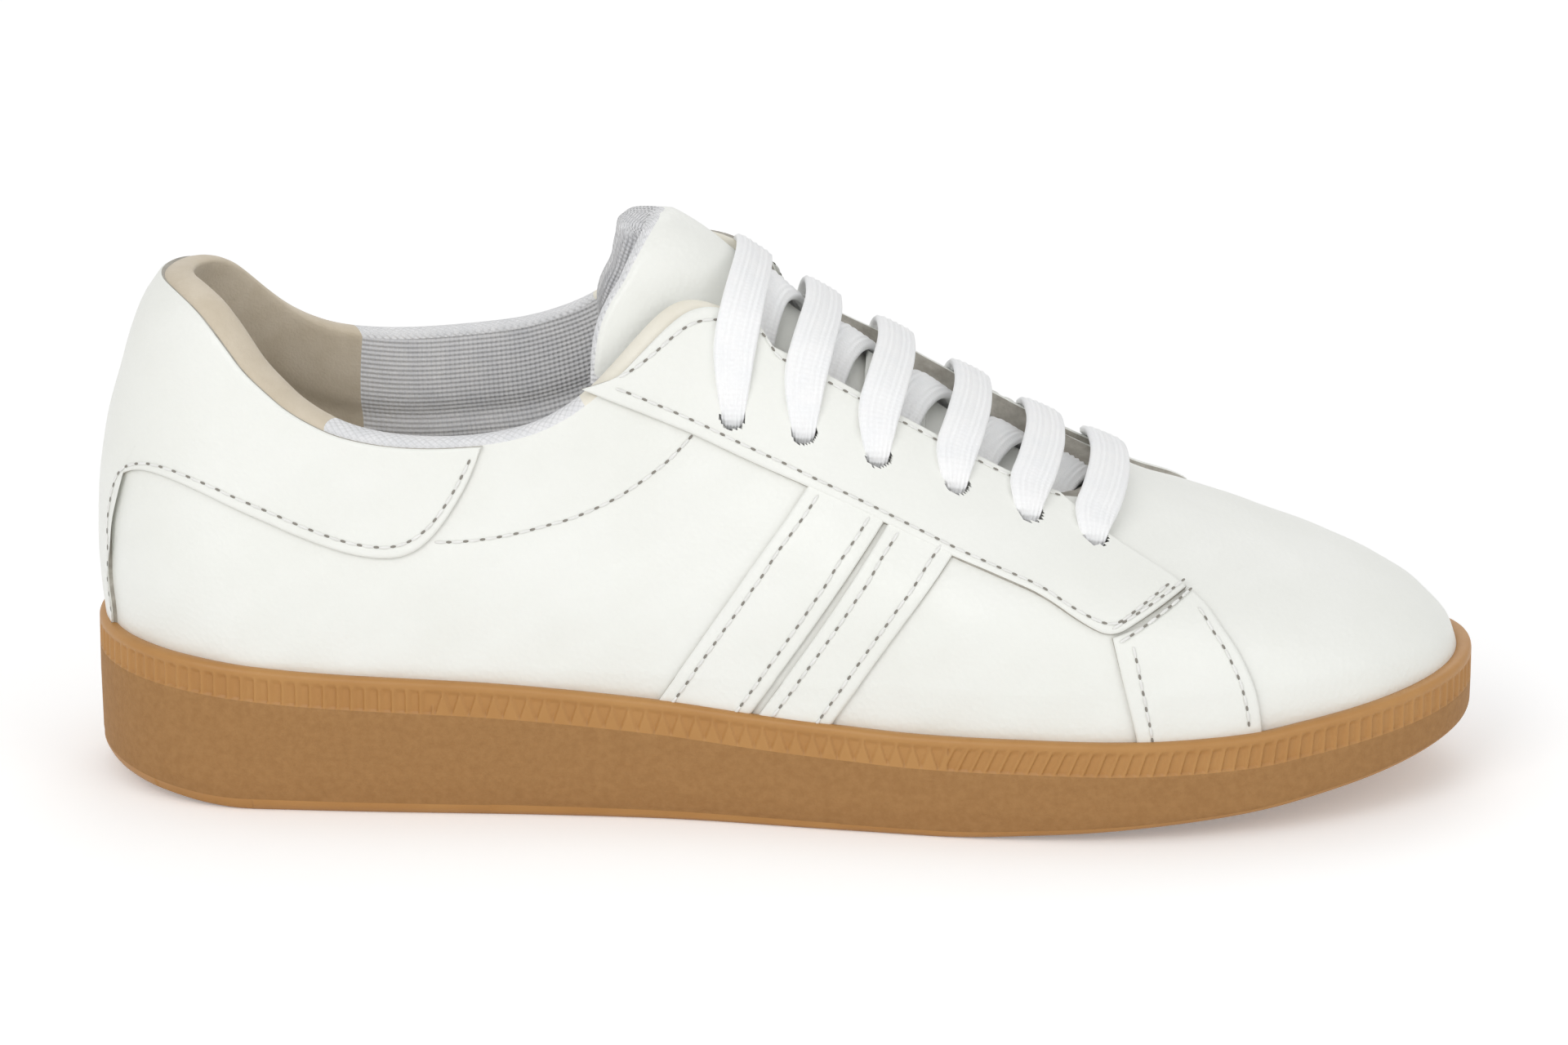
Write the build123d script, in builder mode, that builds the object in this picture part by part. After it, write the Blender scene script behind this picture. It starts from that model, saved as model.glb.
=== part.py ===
"""Right court shoe: gum cupsole, layered leather upper, padded hinged tongue and a flat lace.

Frame: +X toe, -Y lateral side, +Z up, origin under the middle of the tread. Millimetres.
The tables below are drawn on the base last, heel at x = 0, and graded to the overall sizes.
"""

from build123d import *
import math
import os

os.makedirs("parts", exist_ok=True)

# Overall sizes
SOLE_LENGTH = 272.0
FOREFOOT_WIDTH = 97.0
HEEL_HEIGHT = 100.5

# Material thicknesses
LEATHER_T = 1.4
OVERLAY_T = 1.1
BACKING_T = 0.8
LINING_T = 0.8
COLLAR_FOAM_T = 2.7
TONGUE_LEATHER_T = 1.0
TONGUE_FOAM_T = 5.0
TONGUE_LINING_T = 0.8
BOARD_T = 1.8
SOCKLINER_T = 3.5
SOCKLINER_COVER_T = 0.8
KEEPER_T = 1.2
SIDEWALL_T = 2.8
BINDING_DROP = 2.0
GROOVE_DEPTH = 1.5
UPPER_SEAT = 0.5

# Lacing
LACE_D = 2.8
EYELET_CLEARANCE = 1.6
LACE_GAP = 0.35
LACE_BEND_R = 1.8
AGLET_LENGTH = 10.0
TAIL_SINK = 2.0
BAR_BOW = 1.0
AGLET_D = LACE_D + 0.2

# Grading from the base last
GRADE_X = SOLE_LENGTH / 272.0
GRADE_Y = FOREFOOT_WIDTH / 97.0
GRADE_Z = HEEL_HEIGHT / 100.5
MID_X = SOLE_LENGTH / 2
REACH = 90.0 * GRADE_Y

# Depth of each layer under the leather's outer face
LINING_DEPTH = LEATHER_T + BACKING_T + LINING_T
UNDER_LACE_DEPTH = LINING_DEPTH + LACE_GAP + LACE_D / 2
TONGUE_DEPTH = LINING_DEPTH + LACE_GAP + LACE_D + 2 * LACE_GAP
TONGUE_FOAM_DEPTH = TONGUE_DEPTH + TONGUE_LEATHER_T
TONGUE_LINING_DEPTH = TONGUE_FOAM_DEPTH + TONGUE_FOAM_T
TONGUE_INNER_DEPTH = TONGUE_LINING_DEPTH + TONGUE_LINING_T
OVER_LACE_DEPTH = -(OVERLAY_T + LACE_GAP + LACE_D / 2)
CROWN_RISE = 0.6
CROSSING_DEPTH = TONGUE_DEPTH - KEEPER_T - LACE_GAP - LACE_D / 2 - CROWN_RISE
BAR_CROWN_DEPTH = CROSSING_DEPTH - LACE_D - 2 * LACE_GAP

HEEL_ROUND = 33.0
TOE_ROUND = 80.0
HEEL_POWER = 2.0
TOE_POWER = 2.15


def curve_through(knots):
    """Return a smooth function through (input, value) knots that never overshoots them."""
    xs = [knot[0] for knot in knots]
    ys = [knot[1] for knot in knots]
    steps = [b - a for a, b in zip(xs, xs[1:])]
    slopes = [(b - a) / h for a, b, h in zip(ys, ys[1:], steps)]
    grads = [slopes[0]]
    for i in range(1, len(slopes)):
        before, after = slopes[i - 1], slopes[i]
        if before * after <= 0:
            grads.append(0.0)
            continue
        w1 = 2 * steps[i] + steps[i - 1]
        w2 = steps[i] + 2 * steps[i - 1]
        grads.append((w1 + w2) / (w1 / before + w2 / after))
    grads.append(slopes[-1])

    def value(x):
        if x <= xs[0]:
            return ys[0] + grads[0] * (x - xs[0])
        if x >= xs[-1]:
            return ys[-1] + grads[-1] * (x - xs[-1])
        i = max(j for j in range(len(steps)) if xs[j] <= x)
        t = (x - xs[i]) / steps[i]
        start = (1 + 2 * t) * (1 - t) ** 2 * ys[i] + t * (1 - t) ** 2 * steps[i] * grads[i]
        end = t * t * (3 - 2 * t) * ys[i + 1] - t * t * (1 - t) * steps[i] * grads[i + 1]
        return start + end

    return value


# Last shape on the base size: height -> length position, length position -> half width
heel_line = curve_through([
    (4, 3.6), (32, 2.5), (45, 1.2), (52, 1.3), (59.4, 2.0), (67, 3.0), (75.4, 4.7),
    (83, 6.9), (89, 8.7), (95, 10.9), (100.5, 14.5), (124, 29),
])
crest_line = curve_through([
    (4, 268.0), (24, 269.2), (29, 268.0), (35, 263.0), (41.3, 252.5), (48.5, 234.0),
    (55, 214.5), (61.5, 200), (69.8, 183.5), (84, 161.5), (99.5, 140.0), (106, 133.5),
    (111, 128.0), (114.7, 123.0), (118, 117.0), (122, 109.5), (126, 101.5),
])
lateral_width = curve_through([
    (0, 31), (30, 31), (70, 32.5), (110, 36), (150, 42.5), (180, 46.5), (205, 47.5),
    (240, 46), (272, 44),
])
medial_width = curve_through([
    (0, 31), (30, 31), (70, 29.5), (105, 29), (140, 33), (180, 40.5), (205, 44),
    (240, 46), (272, 44),
])
centre_line = curve_through([(0, 0), (40, 0), (130, 5.0), (190, 6.0), (272, 7.0)])
lean_rate = curve_through([
    (0, 0.085), (70, 0.10), (130, 0.15), (180, 0.12), (230, 0.05), (272, 0.02),
])
collar_by_length = curve_through([(0, 1.0), (84, 1.0), (116, 0.0), (272, 0.0)])
collar_by_height = curve_through([(0, 0.0), (48, 0.0), (64, 1.0), (130, 1.0)])


def ease(fraction, power):
    """Rounded end factor: 0 at the end of the last, 1 once past the rounding."""
    left = 1 - min(max(fraction, 0.0), 1.0)
    return (1 - left ** power) ** (1 / power)


def collar_padding(x, z):
    """Extra foam thickness around the ankle, base-last coordinates."""
    return COLLAR_FOAM_T * collar_by_length(x) * collar_by_height(z)


def half_width(x, z, side, depth):
    """Half width of the layer at this depth; side is -1 lateral, +1 medial."""
    knots = lateral_width if side < 0 else medial_width
    bulge = 1.6 * math.exp(-((z - 44) / 13.0) ** 2) * min(1.0, max(0.0, (250 - x) / 50))
    return knots(x) - lean_rate(x) * max(z - 30.0, 0.0) + bulge - depth / GRADE_Y


def crest_stretch(z):
    """How far the front edge steps back for each unit of depth."""
    slope = (crest_line(z + 1) - crest_line(z - 1)) / 2
    return math.sqrt(1 + slope * slope)


def layer_side(x, z, side, depth, padded=False):
    """Sideways position of a layer, or None where the layer has ended."""
    base_x, base_z = x / GRADE_X, z / GRADE_Z
    front = crest_line(base_z) - depth * crest_stretch(base_z) / GRADE_X
    if padded:
        depth = depth + collar_padding(base_x, base_z)
    back = heel_line(base_z) + depth / GRADE_X
    if base_x < back or base_x > front:
        return None
    rounding = ease((base_x - back) / HEEL_ROUND, HEEL_POWER)
    rounding *= ease((front - base_x) / TOE_ROUND, TOE_POWER)
    width = half_width(base_x, base_z, side, depth)
    return GRADE_Y * (centre_line(base_x) + side * width * rounding)


SOLE_Z = 24.0
SLICE_STEPS = 15
SEAM_SHIFT = 3
outline_stations = [SOLE_LENGTH * i / 60 for i in range(5, 58)]
LATERAL_EDGE = min(layer_side(x, SOLE_Z, -1, -SIDEWALL_T) for x in outline_stations)
MEDIAL_EDGE = max(layer_side(x, SOLE_Z, 1, -SIDEWALL_T) for x in outline_stations)
MID_Y = (LATERAL_EDGE + MEDIAL_EDGE) / 2


def layer_slice(z, depth, padded=False, section_z=None):
    """Closed outline face of one layer at height z, cut from the last at section_z."""
    section = z if section_z is None else section_z
    base_z = section / GRADE_Z
    back = heel_line(base_z) + depth / GRADE_X
    if padded:
        back += collar_padding(0.0, base_z) / GRADE_X
    front = crest_line(base_z) - depth * crest_stretch(base_z) / GRADE_X
    heel = (GRADE_X * back - MID_X, GRADE_Y * centre_line(back) - MID_Y)
    toe = (GRADE_X * front - MID_X, GRADE_Y * centre_line(front) - MID_Y)
    spread = [(1 - math.cos(math.pi * i / SLICE_STEPS)) / 2 for i in range(1, SLICE_STEPS)]
    xs = [GRADE_X * (back + (front - back) * s) for s in spread]
    lateral = [(x - MID_X, layer_side(x, section, -1, depth, padded) - MID_Y) for x in xs]
    medial = [(x - MID_X, layer_side(x, section, 1, depth, padded) - MID_Y) for x in xs]
    loop = [heel] + lateral + [toe] + medial[::-1]
    loop = loop[-SEAM_SHIFT:] + loop[:-SEAM_SHIFT]
    knots = [i / len(loop) for i in range(len(loop) + 1)]
    with BuildSketch(Plane.XY.offset(z)) as outline:
        with BuildLine():
            add(Edge.make_spline(loop, periodic=True, parameters=knots))
        make_face()
    return outline.sketch


def layer_solid(depth, heights, padded=False):
    """Solid filling the last up to one layer, lofted through level slices."""
    with BuildPart() as body:
        for height in heights:
            add(layer_slice(height * GRADE_Z, depth, padded))
        loft()
    return body.part


def side_points(points, lift=0.0):
    """Turn base-last (x, z) pairs into side-view sketch points."""
    return [(GRADE_X * x - MID_X, GRADE_Z * (z + lift)) for x, z in points]


def side_block(points, y_from=-REACH, y_to=REACH, lift=0.0):
    """Solid swept sideways from a closed side-view outline of straight runs."""
    with BuildPart() as block:
        with BuildSketch(Plane.XZ.offset(-y_to)):
            with BuildLine():
                Polyline(*side_points(points, lift), close=True)
            make_face()
        extrude(amount=y_to - y_from)
    return block.part


def span_block(lower, upper, y_from=-REACH, y_to=REACH, lift=(0.0, 0.0)):
    """Solid swept sideways between two smooth side-view lines with the same end stations."""
    low = side_points(lower, lift[0])
    high = side_points(upper, lift[1])
    with BuildPart() as block:
        with BuildSketch(Plane.XZ.offset(-y_to)):
            with BuildLine():
                Spline(*low)
                Line(low[-1], high[-1])
                Spline(*high)
                Line(high[0], low[0])
            make_face()
        extrude(amount=y_to - y_from)
    return block.part


# ---- Side-view lines, base last ----
TREAD_HEEL = [(-6, 8.0), (0, 5.0), (3.7, 3.4), (14, 1.4), (30, 0.0)]
TREAD_TOE = [(168, 0.0), (190, 1.2), (213, 3.2), (229, 4.8), (245, 7.4), (256, 9.4), (280, 15.0)]
FOXING_TOP = [
    (-6, 32.2), (18, 31.2), (43, 29.0), (80, 27.4), (113, 24.9), (132, 23.1), (147, 22.1),
    (164, 21.2), (182, 21.0), (208, 20.8), (229, 21.2), (240, 22.4), (251, 23.6),
    (264, 25.2), (280, 27.5),
]
CUP_FLOOR = [(-20, 7.0), (60, 7.0), (160, 6.0), (200, 7.0), (235, 10.5), (290, 19.0)]
INSERT_TOP = [(-20, 19.0), (60, 18.5), (150, 12.5), (200, 11.5), (235, 14.5), (290, 23.0)]
LATERAL_TOPLINE = [
    (13.8, 100.5), (17.6, 100.4), (22.5, 98.4), (26.6, 95.0), (29.4, 91.8), (32.3, 88.1),
    (36.6, 84.2), (41.0, 80.4), (47.9, 76.6), (53.3, 74.9), (60.3, 73.7), (69.3, 73.3),
    (79.0, 73.9), (88.2, 75.8), (94.6, 78.8), (100.6, 83.0), (105.0, 87.0), (110.4, 92.4),
    (115.0, 96.6), (118.6, 98.7), (122.7, 98.9), (127.7, 97.2), (131.2, 95.4),
]
MEDIAL_TOPLINE = [
    (13.8, 100.5), (18.0, 100.0), (22.0, 97.4), (25.5, 94.0), (30.0, 89.4), (35.5, 85.2),
    (42.0, 82.4), (50.0, 81.3), (60.0, 81.3), (79.0, 83.2), (88.0, 85.2), (97.0, 89.0),
    (104.0, 94.0), (109.5, 99.4), (114.0, 103.6), (118.5, 105.6), (124.0, 104.9),
    (129.0, 102.4), (132.0, 100.4),
]
LATERAL_EYESTAY_LOW = [
    (98.0, 85.0), (102.3, 83.2), (108.4, 80.8), (119.9, 76.3), (129.6, 71.9), (142.5, 66.9),
    (155.9, 61.3), (169.9, 55.2), (181.4, 51.0), (188.4, 48.2), (195.9, 43.5), (199.3, 40.0),
    (203.5, 32.6), (206.0, 22.6), (207.3, 12.0),
]
OVERLAY_FRONT = [
    (190.8, 63.0), (195.3, 59.6), (203.6, 54.9), (211.2, 50.7), (214.2, 49.0), (216.1, 47.7),
    (218.8, 45.2), (221.8, 41.5), (224.8, 37.8), (227.6, 32.9), (229.5, 27.8), (230.5, 21.9),
    (230.9, 12.0),
]
OVERLAY_SPLIT = [(190.0, 36.0), (201.3, 41.1), (215.2, 47.5), (232.0, 55.3)]
STRIPE_REAR = [(148.3, 76.0), (142.2, 67.2), (129.4, 48.8), (120.9, 36.3), (107.0, 15.0)]
STRIPE_MIDDLE = [(167.4, 76.0), (157.2, 60.7), (132.2, 22.9), (127.0, 15.0)]
STRIPE_FRONT = [(184.7, 76.0), (170.2, 55.2), (160.5, 42.3), (147.2, 21.9), (142.7, 15.0)]
BACKSTAY_LOW = [
    (5.3, 10.0), (5.0, 33.8), (4.5, 40.7), (4.1, 48.1), (4.3, 54.1), (5.3, 59.5),
    (7.3, 63.8), (12.6, 66.3), (21.6, 64.8), (35.0, 59.3), (43.7, 55.6), (52.8, 52.6),
    (60.8, 51.7), (65.6, 53.0), (69.8, 56.6), (74.1, 63.0), (77.1, 69.0), (80.5, 76.0),
]
VAMP_REAR = [
    (188.0, 78.0), (196.0, 60.0), (200.0, 56.5), (206.0, 51.5), (212.0, 42.0),
    (216.0, 30.0), (219.0, 2.0),
]
COUNTER_LOW = [(76.0, 2.0), (72.0, 32.0), (62.0, 50.0), (40.0, 60.0), (-12.0, 66.0)]
COLLAR_FRONT_X = 104.0
HEEL_LINING_X = 48.0
TOE_PUFF_X = 232.0
VAMP_LINING_X = 210.0
THROAT_LATERAL_Y = -15.0
THROAT_MEDIAL_Y = 19.0
THROAT_END_X = 203.0
THROAT_MIDDLE_Y = 2.0
EYELET_XS = [127.3, 141.0, 155.3, 170.4, 184.7, 197.4]
EYELET_EDGE = 8.0
TONGUE_END = [(99.2, 84.0), (98.6, 93.0), (102.0, 101.0), (107.0, 109.0), (112.6, 121.5)]
TONGUE_LOW = [
    (99.2, 84.0), (108.0, 77.0), (125.0, 67.5), (150.0, 55.0), (180.0, 45.5), (206.0, 39.0),
]
TONGUE_BASE_X = 206.0
TONGUE_ROOT_X = 201.0
TONGUE_ROOT_YS = (-10.0, 20.0)
TONGUE_BINDING_W = 3.0
KEEPER_XS = (152.0, 164.0)
KEEPER_YS = (-8.0, 12.0)

LAST_LEVELS = [4, 12, 20, 26, 32, 38, 44, 50, 56, 63, 71, 80, 90, 100, 112, 124]

# ---- Last, layer by layer ----
overlay_last = layer_solid(-OVERLAY_T, LAST_LEVELS)
leather_last = layer_solid(0.0, LAST_LEVELS)
backing_last = layer_solid(LEATHER_T, LAST_LEVELS)
lining_last = layer_solid(LEATHER_T + BACKING_T, LAST_LEVELS, padded=True)
cavity_last = layer_solid(LINING_DEPTH, LAST_LEVELS, padded=True)


def point_on_layer(x, side_y, depth):
    """Point of a layer above plan position (x, side_y), base-last inputs."""
    side = -1 if side_y < centre_line(x) else 1
    low, high = 30.0, 130.0
    for _ in range(40):
        middle = (low + high) / 2
        found = layer_side(GRADE_X * x, GRADE_Z * middle, side, depth)
        outside = found is None or side * (found - GRADE_Y * side_y) < 0
        low, high = (low, middle) if outside else (middle, high)
    return Vector(GRADE_X * x - MID_X, GRADE_Y * side_y - MID_Y, GRADE_Z * low)


def outward(x, side_y):
    """Unit normal of the leather at plan position (x, side_y), base-last inputs."""
    here = point_on_layer(x, side_y, 0.0)
    ahead = point_on_layer(x + 1, side_y, 0.0) - here
    across = point_on_layer(x, side_y + 1, 0.0) - here
    return ahead.cross(across).normalized()


def point_under(x, side_y, depth):
    """Point reached from the leather along its own normal at the layer of this depth."""
    here = point_on_layer(x, side_y, 0.0)
    normal = outward(x, side_y)
    side = -1 if side_y < centre_line(x) else 1
    sign = 1 if depth > 0 else -1
    near, far = 0.0, 4 * abs(depth) + 4
    for _ in range(40):
        middle = (near + far) / 2
        spot = here - normal * (sign * middle)
        found = layer_side(spot.X + MID_X, spot.Z, side, depth)
        inside = found is not None and side * (found - spot.Y - MID_Y) > 0
        near, far = (near, middle) if inside == (sign > 0) else (middle, far)
    return here - normal * (sign * near)


eyelets = []
for eyelet_x in EYELET_XS:
    eyelets.append((eyelet_x, THROAT_LATERAL_Y - EYELET_EDGE))
    eyelets.append((eyelet_x, THROAT_MEDIAL_Y + EYELET_EDGE))

with BuildPart() as throat_slot:
    slot_points = [
        (92, THROAT_LATERAL_Y + 1), (140, THROAT_LATERAL_Y), (184, THROAT_LATERAL_Y - 1),
        (196, THROAT_LATERAL_Y + 3), (THROAT_END_X, (THROAT_LATERAL_Y + THROAT_MEDIAL_Y) / 2),
        (196, THROAT_MEDIAL_Y - 3), (184, THROAT_MEDIAL_Y), (140, THROAT_MEDIAL_Y),
        (92, THROAT_MEDIAL_Y - 1),
    ]
    with BuildSketch(Plane.XY.offset(40 * GRADE_Z)):
        with BuildLine():
            plan = [(GRADE_X * x - MID_X, GRADE_Y * y - MID_Y) for x, y in slot_points]
            Polyline(plan[0], plan[1], plan[2])
            Spline(*plan[2:7])
            Polyline(plan[6], plan[7], plan[8], plan[0])
        make_face()
    extrude(amount=100 * GRADE_Z)

with BuildPart() as eyelet_holes:
    for x, side_y in eyelets:
        hole_plane = Plane(point_on_layer(x, side_y, 0.0), z_dir=outward(x, side_y))
        with BuildSketch(hole_plane):
            Circle((LACE_D + EYELET_CLEARANCE) / 2)
        extrude(amount=14, both=True)


def upper_envelope(drop):
    """Room the upper fills: above the cup floor, under both toplines, less throat and eyelets."""
    floor = [(x, z + UPPER_SEAT / GRADE_Z) for x, z in CUP_FLOOR]
    roof_end = [(136, 135), (290, 135)]
    heel = [(-20, 100.5 - drop), (13.8, 100.5 - drop)]
    lateral_top = [(x, z - drop) for x, z in LATERAL_TOPLINE[1:]]
    medial_top = [(x, z - drop) for x, z in MEDIAL_TOPLINE[1:]]
    with BuildPart() as envelope:
        add(side_block(floor + roof_end[::-1] + lateral_top[::-1] + heel[::-1], y_to=-MID_Y))
        add(side_block(floor + roof_end[::-1] + medial_top[::-1] + heel[::-1], y_from=-MID_Y))
        add(throat_slot.part, mode=Mode.SUBTRACT)
        add(eyelet_holes.part, mode=Mode.SUBTRACT)
    return envelope.part


envelope_full = upper_envelope(0.0)
envelope_low = upper_envelope(BINDING_DROP)

# ---- Sole unit ----
with BuildPart() as sole_block:
    add(layer_slice(0.0, 1.6 - SIDEWALL_T, section_z=SOLE_Z * GRADE_Z))
    add(layer_slice(6.0, 0.3 - SIDEWALL_T, section_z=SOLE_Z * GRADE_Z))
    add(layer_slice(20.0, -SIDEWALL_T, section_z=SOLE_Z * GRADE_Z))
    add(layer_slice(36.0, -SIDEWALL_T, section_z=SOLE_Z * GRADE_Z))
    loft()

with BuildPart() as cup_cavity:
    add(leather_last)
    add(span_block(CUP_FLOOR, [(x, 60) for x, _ in CUP_FLOOR]), mode=Mode.INTERSECT)

with BuildPart() as tread_grooves:
    for station in range(36, 168, 12):
        with BuildSketch(Plane.XY):
            with BuildLine():
                x = GRADE_X * station - MID_X
                Polyline((x, -REACH), (x + 9, 0), (x, REACH), (x + 3, REACH), (x + 12, 0),
                         (x + 3, -REACH), close=True)
            make_face()
        extrude(amount=GROOVE_DEPTH)

with BuildPart() as cupsole:
    with BuildSketch(Plane.XZ.offset(-REACH)):
        with BuildLine():
            Spline(*side_points(TREAD_HEEL))
            Line(side_points(TREAD_HEEL)[-1], side_points(TREAD_TOE)[0])
            Spline(*side_points(TREAD_TOE))
            Line(side_points(TREAD_TOE)[-1], side_points(FOXING_TOP)[-1])
            Spline(*side_points(FOXING_TOP))
            Line(side_points(FOXING_TOP)[0], side_points(TREAD_HEEL)[0])
        make_face()
    extrude(amount=2 * REACH)
    add(sole_block.part, mode=Mode.INTERSECT)
    add(cup_cavity.part, mode=Mode.SUBTRACT)
    add(tread_grooves.part, mode=Mode.SUBTRACT)

BOARD_LIFT = BOARD_T / GRADE_Z
FOAM_LIFT = BOARD_LIFT + SOCKLINER_T / GRADE_Z
COVER_LIFT = FOAM_LIFT + SOCKLINER_COVER_T / GRADE_Z

with BuildPart() as midsole_insert:
    add(cavity_last)
    add(span_block(CUP_FLOOR, INSERT_TOP), mode=Mode.INTERSECT)

with BuildPart() as lasting_board:
    add(cavity_last)
    add(span_block(INSERT_TOP, INSERT_TOP, lift=(0.0, BOARD_LIFT)), mode=Mode.INTERSECT)

with BuildPart() as sockliner_foam:
    add(cavity_last)
    add(span_block(INSERT_TOP, INSERT_TOP, lift=(BOARD_LIFT, FOAM_LIFT)), mode=Mode.INTERSECT)

with BuildPart() as sockliner_cover:
    add(cavity_last)
    add(span_block(INSERT_TOP, INSERT_TOP, lift=(FOAM_LIFT, COVER_LIFT)), mode=Mode.INTERSECT)

# ---- Layer shells ----
with BuildPart() as overlay_shell:
    add(overlay_last)
    add(leather_last, mode=Mode.SUBTRACT)
    add(envelope_full, mode=Mode.INTERSECT)
    add(cupsole.part, mode=Mode.SUBTRACT)

with BuildPart() as leather_shell:
    add(leather_last)
    add(backing_last, mode=Mode.SUBTRACT)
    add(envelope_full, mode=Mode.INTERSECT)

with BuildPart() as backing_shell:
    add(backing_last)
    add(lining_last, mode=Mode.SUBTRACT)
    add(envelope_low, mode=Mode.INTERSECT)

with BuildPart() as lining_shell:
    add(lining_last)
    add(cavity_last, mode=Mode.SUBTRACT)
    add(envelope_low, mode=Mode.INTERSECT)

with BuildPart() as binding_shell:
    add(backing_last)
    add(cavity_last, mode=Mode.SUBTRACT)
    add(envelope_full, mode=Mode.INTERSECT)
    add(envelope_low, mode=Mode.SUBTRACT)

# ---- Outer leathers ----
front_region = side_block(VAMP_REAR + [(290, 2), (290, 135), (188, 135)])
lateral_half = side_block([(-20, 0), (290, 0), (290, 135), (-20, 135)], y_to=-MID_Y)

with BuildPart() as vamp:
    add(leather_shell.part)
    add(front_region, mode=Mode.INTERSECT)

with BuildPart() as quarter_lateral:
    add(leather_shell.part)
    add(front_region, mode=Mode.SUBTRACT)
    add(lateral_half, mode=Mode.INTERSECT)

with BuildPart() as quarter_medial:
    add(leather_shell.part)
    add(front_region, mode=Mode.SUBTRACT)
    add(lateral_half, mode=Mode.SUBTRACT)

# ---- Overlays ----
eyestay_outline = LATERAL_EYESTAY_LOW[:11] + OVERLAY_SPLIT[1:3] + OVERLAY_FRONT[4::-1]
eyestay_outline = eyestay_outline + [(180, 135), (98, 135)]
overlay_outline = LATERAL_EYESTAY_LOW[11:] + OVERLAY_FRONT[:4:-1] + OVERLAY_SPLIT[2:0:-1]
eyestay_region = side_block(eyestay_outline)
overlay_region = side_block(overlay_outline)

with BuildPart() as eyestay_lateral:
    add(overlay_shell.part)
    add(eyestay_region, mode=Mode.INTERSECT)
    add(lateral_half, mode=Mode.INTERSECT)

with BuildPart() as eyestay_medial:
    add(overlay_shell.part)
    add(eyestay_region, mode=Mode.INTERSECT)
    add(lateral_half, mode=Mode.SUBTRACT)

with BuildPart() as forefoot_overlay_lateral:
    add(overlay_shell.part)
    add(overlay_region, mode=Mode.INTERSECT)
    add(lateral_half, mode=Mode.INTERSECT)

with BuildPart() as forefoot_overlay_medial:
    add(overlay_shell.part)
    add(overlay_region, mode=Mode.INTERSECT)
    add(lateral_half, mode=Mode.SUBTRACT)

rear_stripe_region = side_block(STRIPE_REAR + STRIPE_MIDDLE[::-1])
front_stripe_region = side_block(STRIPE_MIDDLE + STRIPE_FRONT[::-1])

with BuildPart() as stripe_rear_lateral:
    add(overlay_shell.part)
    add(rear_stripe_region, mode=Mode.INTERSECT)
    add(lateral_half, mode=Mode.INTERSECT)
    add(eyestay_region, mode=Mode.SUBTRACT)

with BuildPart() as stripe_front_lateral:
    add(overlay_shell.part)
    add(front_stripe_region, mode=Mode.INTERSECT)
    add(lateral_half, mode=Mode.INTERSECT)
    add(eyestay_region, mode=Mode.SUBTRACT)

with BuildPart() as stripe_rear_medial:
    add(overlay_shell.part)
    add(rear_stripe_region, mode=Mode.INTERSECT)
    add(lateral_half, mode=Mode.SUBTRACT)
    add(eyestay_region, mode=Mode.SUBTRACT)

with BuildPart() as stripe_front_medial:
    add(overlay_shell.part)
    add(front_stripe_region, mode=Mode.INTERSECT)
    add(lateral_half, mode=Mode.SUBTRACT)
    add(eyestay_region, mode=Mode.SUBTRACT)

with BuildPart() as backstay:
    add(overlay_shell.part)
    backstay_region = side_block(BACKSTAY_LOW + [(84, 90), (60, 115), (-20, 115), (-20, 10)])
    add(backstay_region, mode=Mode.INTERSECT)

# ---- Stiffeners, padding and backing ----
toe_region = side_block([(TOE_PUFF_X, 0), (290, 0), (290, 135), (TOE_PUFF_X, 135)])
counter_region = side_block(COUNTER_LOW + [(-12, 2)])
collar_outline = COUNTER_LOW[2:] + [(-12, 120), (COLLAR_FRONT_X, 120), (COLLAR_FRONT_X, 62)]
collar_region = side_block(collar_outline)

with BuildPart() as toe_puff:
    add(backing_shell.part)
    add(toe_region, mode=Mode.INTERSECT)

with BuildPart() as heel_counter:
    add(backing_shell.part)
    add(counter_region, mode=Mode.INTERSECT)

with BuildPart() as collar_foam_lateral:
    add(backing_shell.part)
    add(collar_region, mode=Mode.INTERSECT)
    add(lateral_half, mode=Mode.INTERSECT)

with BuildPart() as collar_foam_medial:
    add(backing_shell.part)
    add(collar_region, mode=Mode.INTERSECT)
    add(lateral_half, mode=Mode.SUBTRACT)

stay_region = side_block([
    (COLLAR_FRONT_X, 84), (119.9, 76.3), (142.5, 66.9), (169.9, 55.2), (188.4, 48.2),
    (201, 46), (206, 51), (200, 70), (180, 135), (COLLAR_FRONT_X, 135),
])

with BuildPart() as facing_stay_lateral:
    add(backing_shell.part)
    add(stay_region, mode=Mode.INTERSECT)
    add(lateral_half, mode=Mode.INTERSECT)

with BuildPart() as facing_stay_medial:
    add(backing_shell.part)
    add(stay_region, mode=Mode.INTERSECT)
    add(lateral_half, mode=Mode.SUBTRACT)

with BuildPart() as quarter_interlining:
    add(backing_shell.part)
    add(toe_region, mode=Mode.SUBTRACT)
    add(counter_region, mode=Mode.SUBTRACT)
    add(collar_region, mode=Mode.SUBTRACT)
    add(stay_region, mode=Mode.SUBTRACT)

# ---- Linings and collar binding ----
heel_region = side_block([(-20, 0), (HEEL_LINING_X, 0), (HEEL_LINING_X, 135), (-20, 135)])
vamp_lining_region = side_block([
    (VAMP_LINING_X, 0), (290, 0), (290, 135), (VAMP_LINING_X - 22, 135), (VAMP_LINING_X - 22, 62),
    (VAMP_LINING_X, 48),
])

with BuildPart() as heel_lining:
    add(lining_shell.part)
    add(binding_shell.part)
    add(heel_region, mode=Mode.INTERSECT)

with BuildPart() as vamp_lining:
    add(lining_shell.part)
    add(vamp_lining_region, mode=Mode.INTERSECT)

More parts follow.
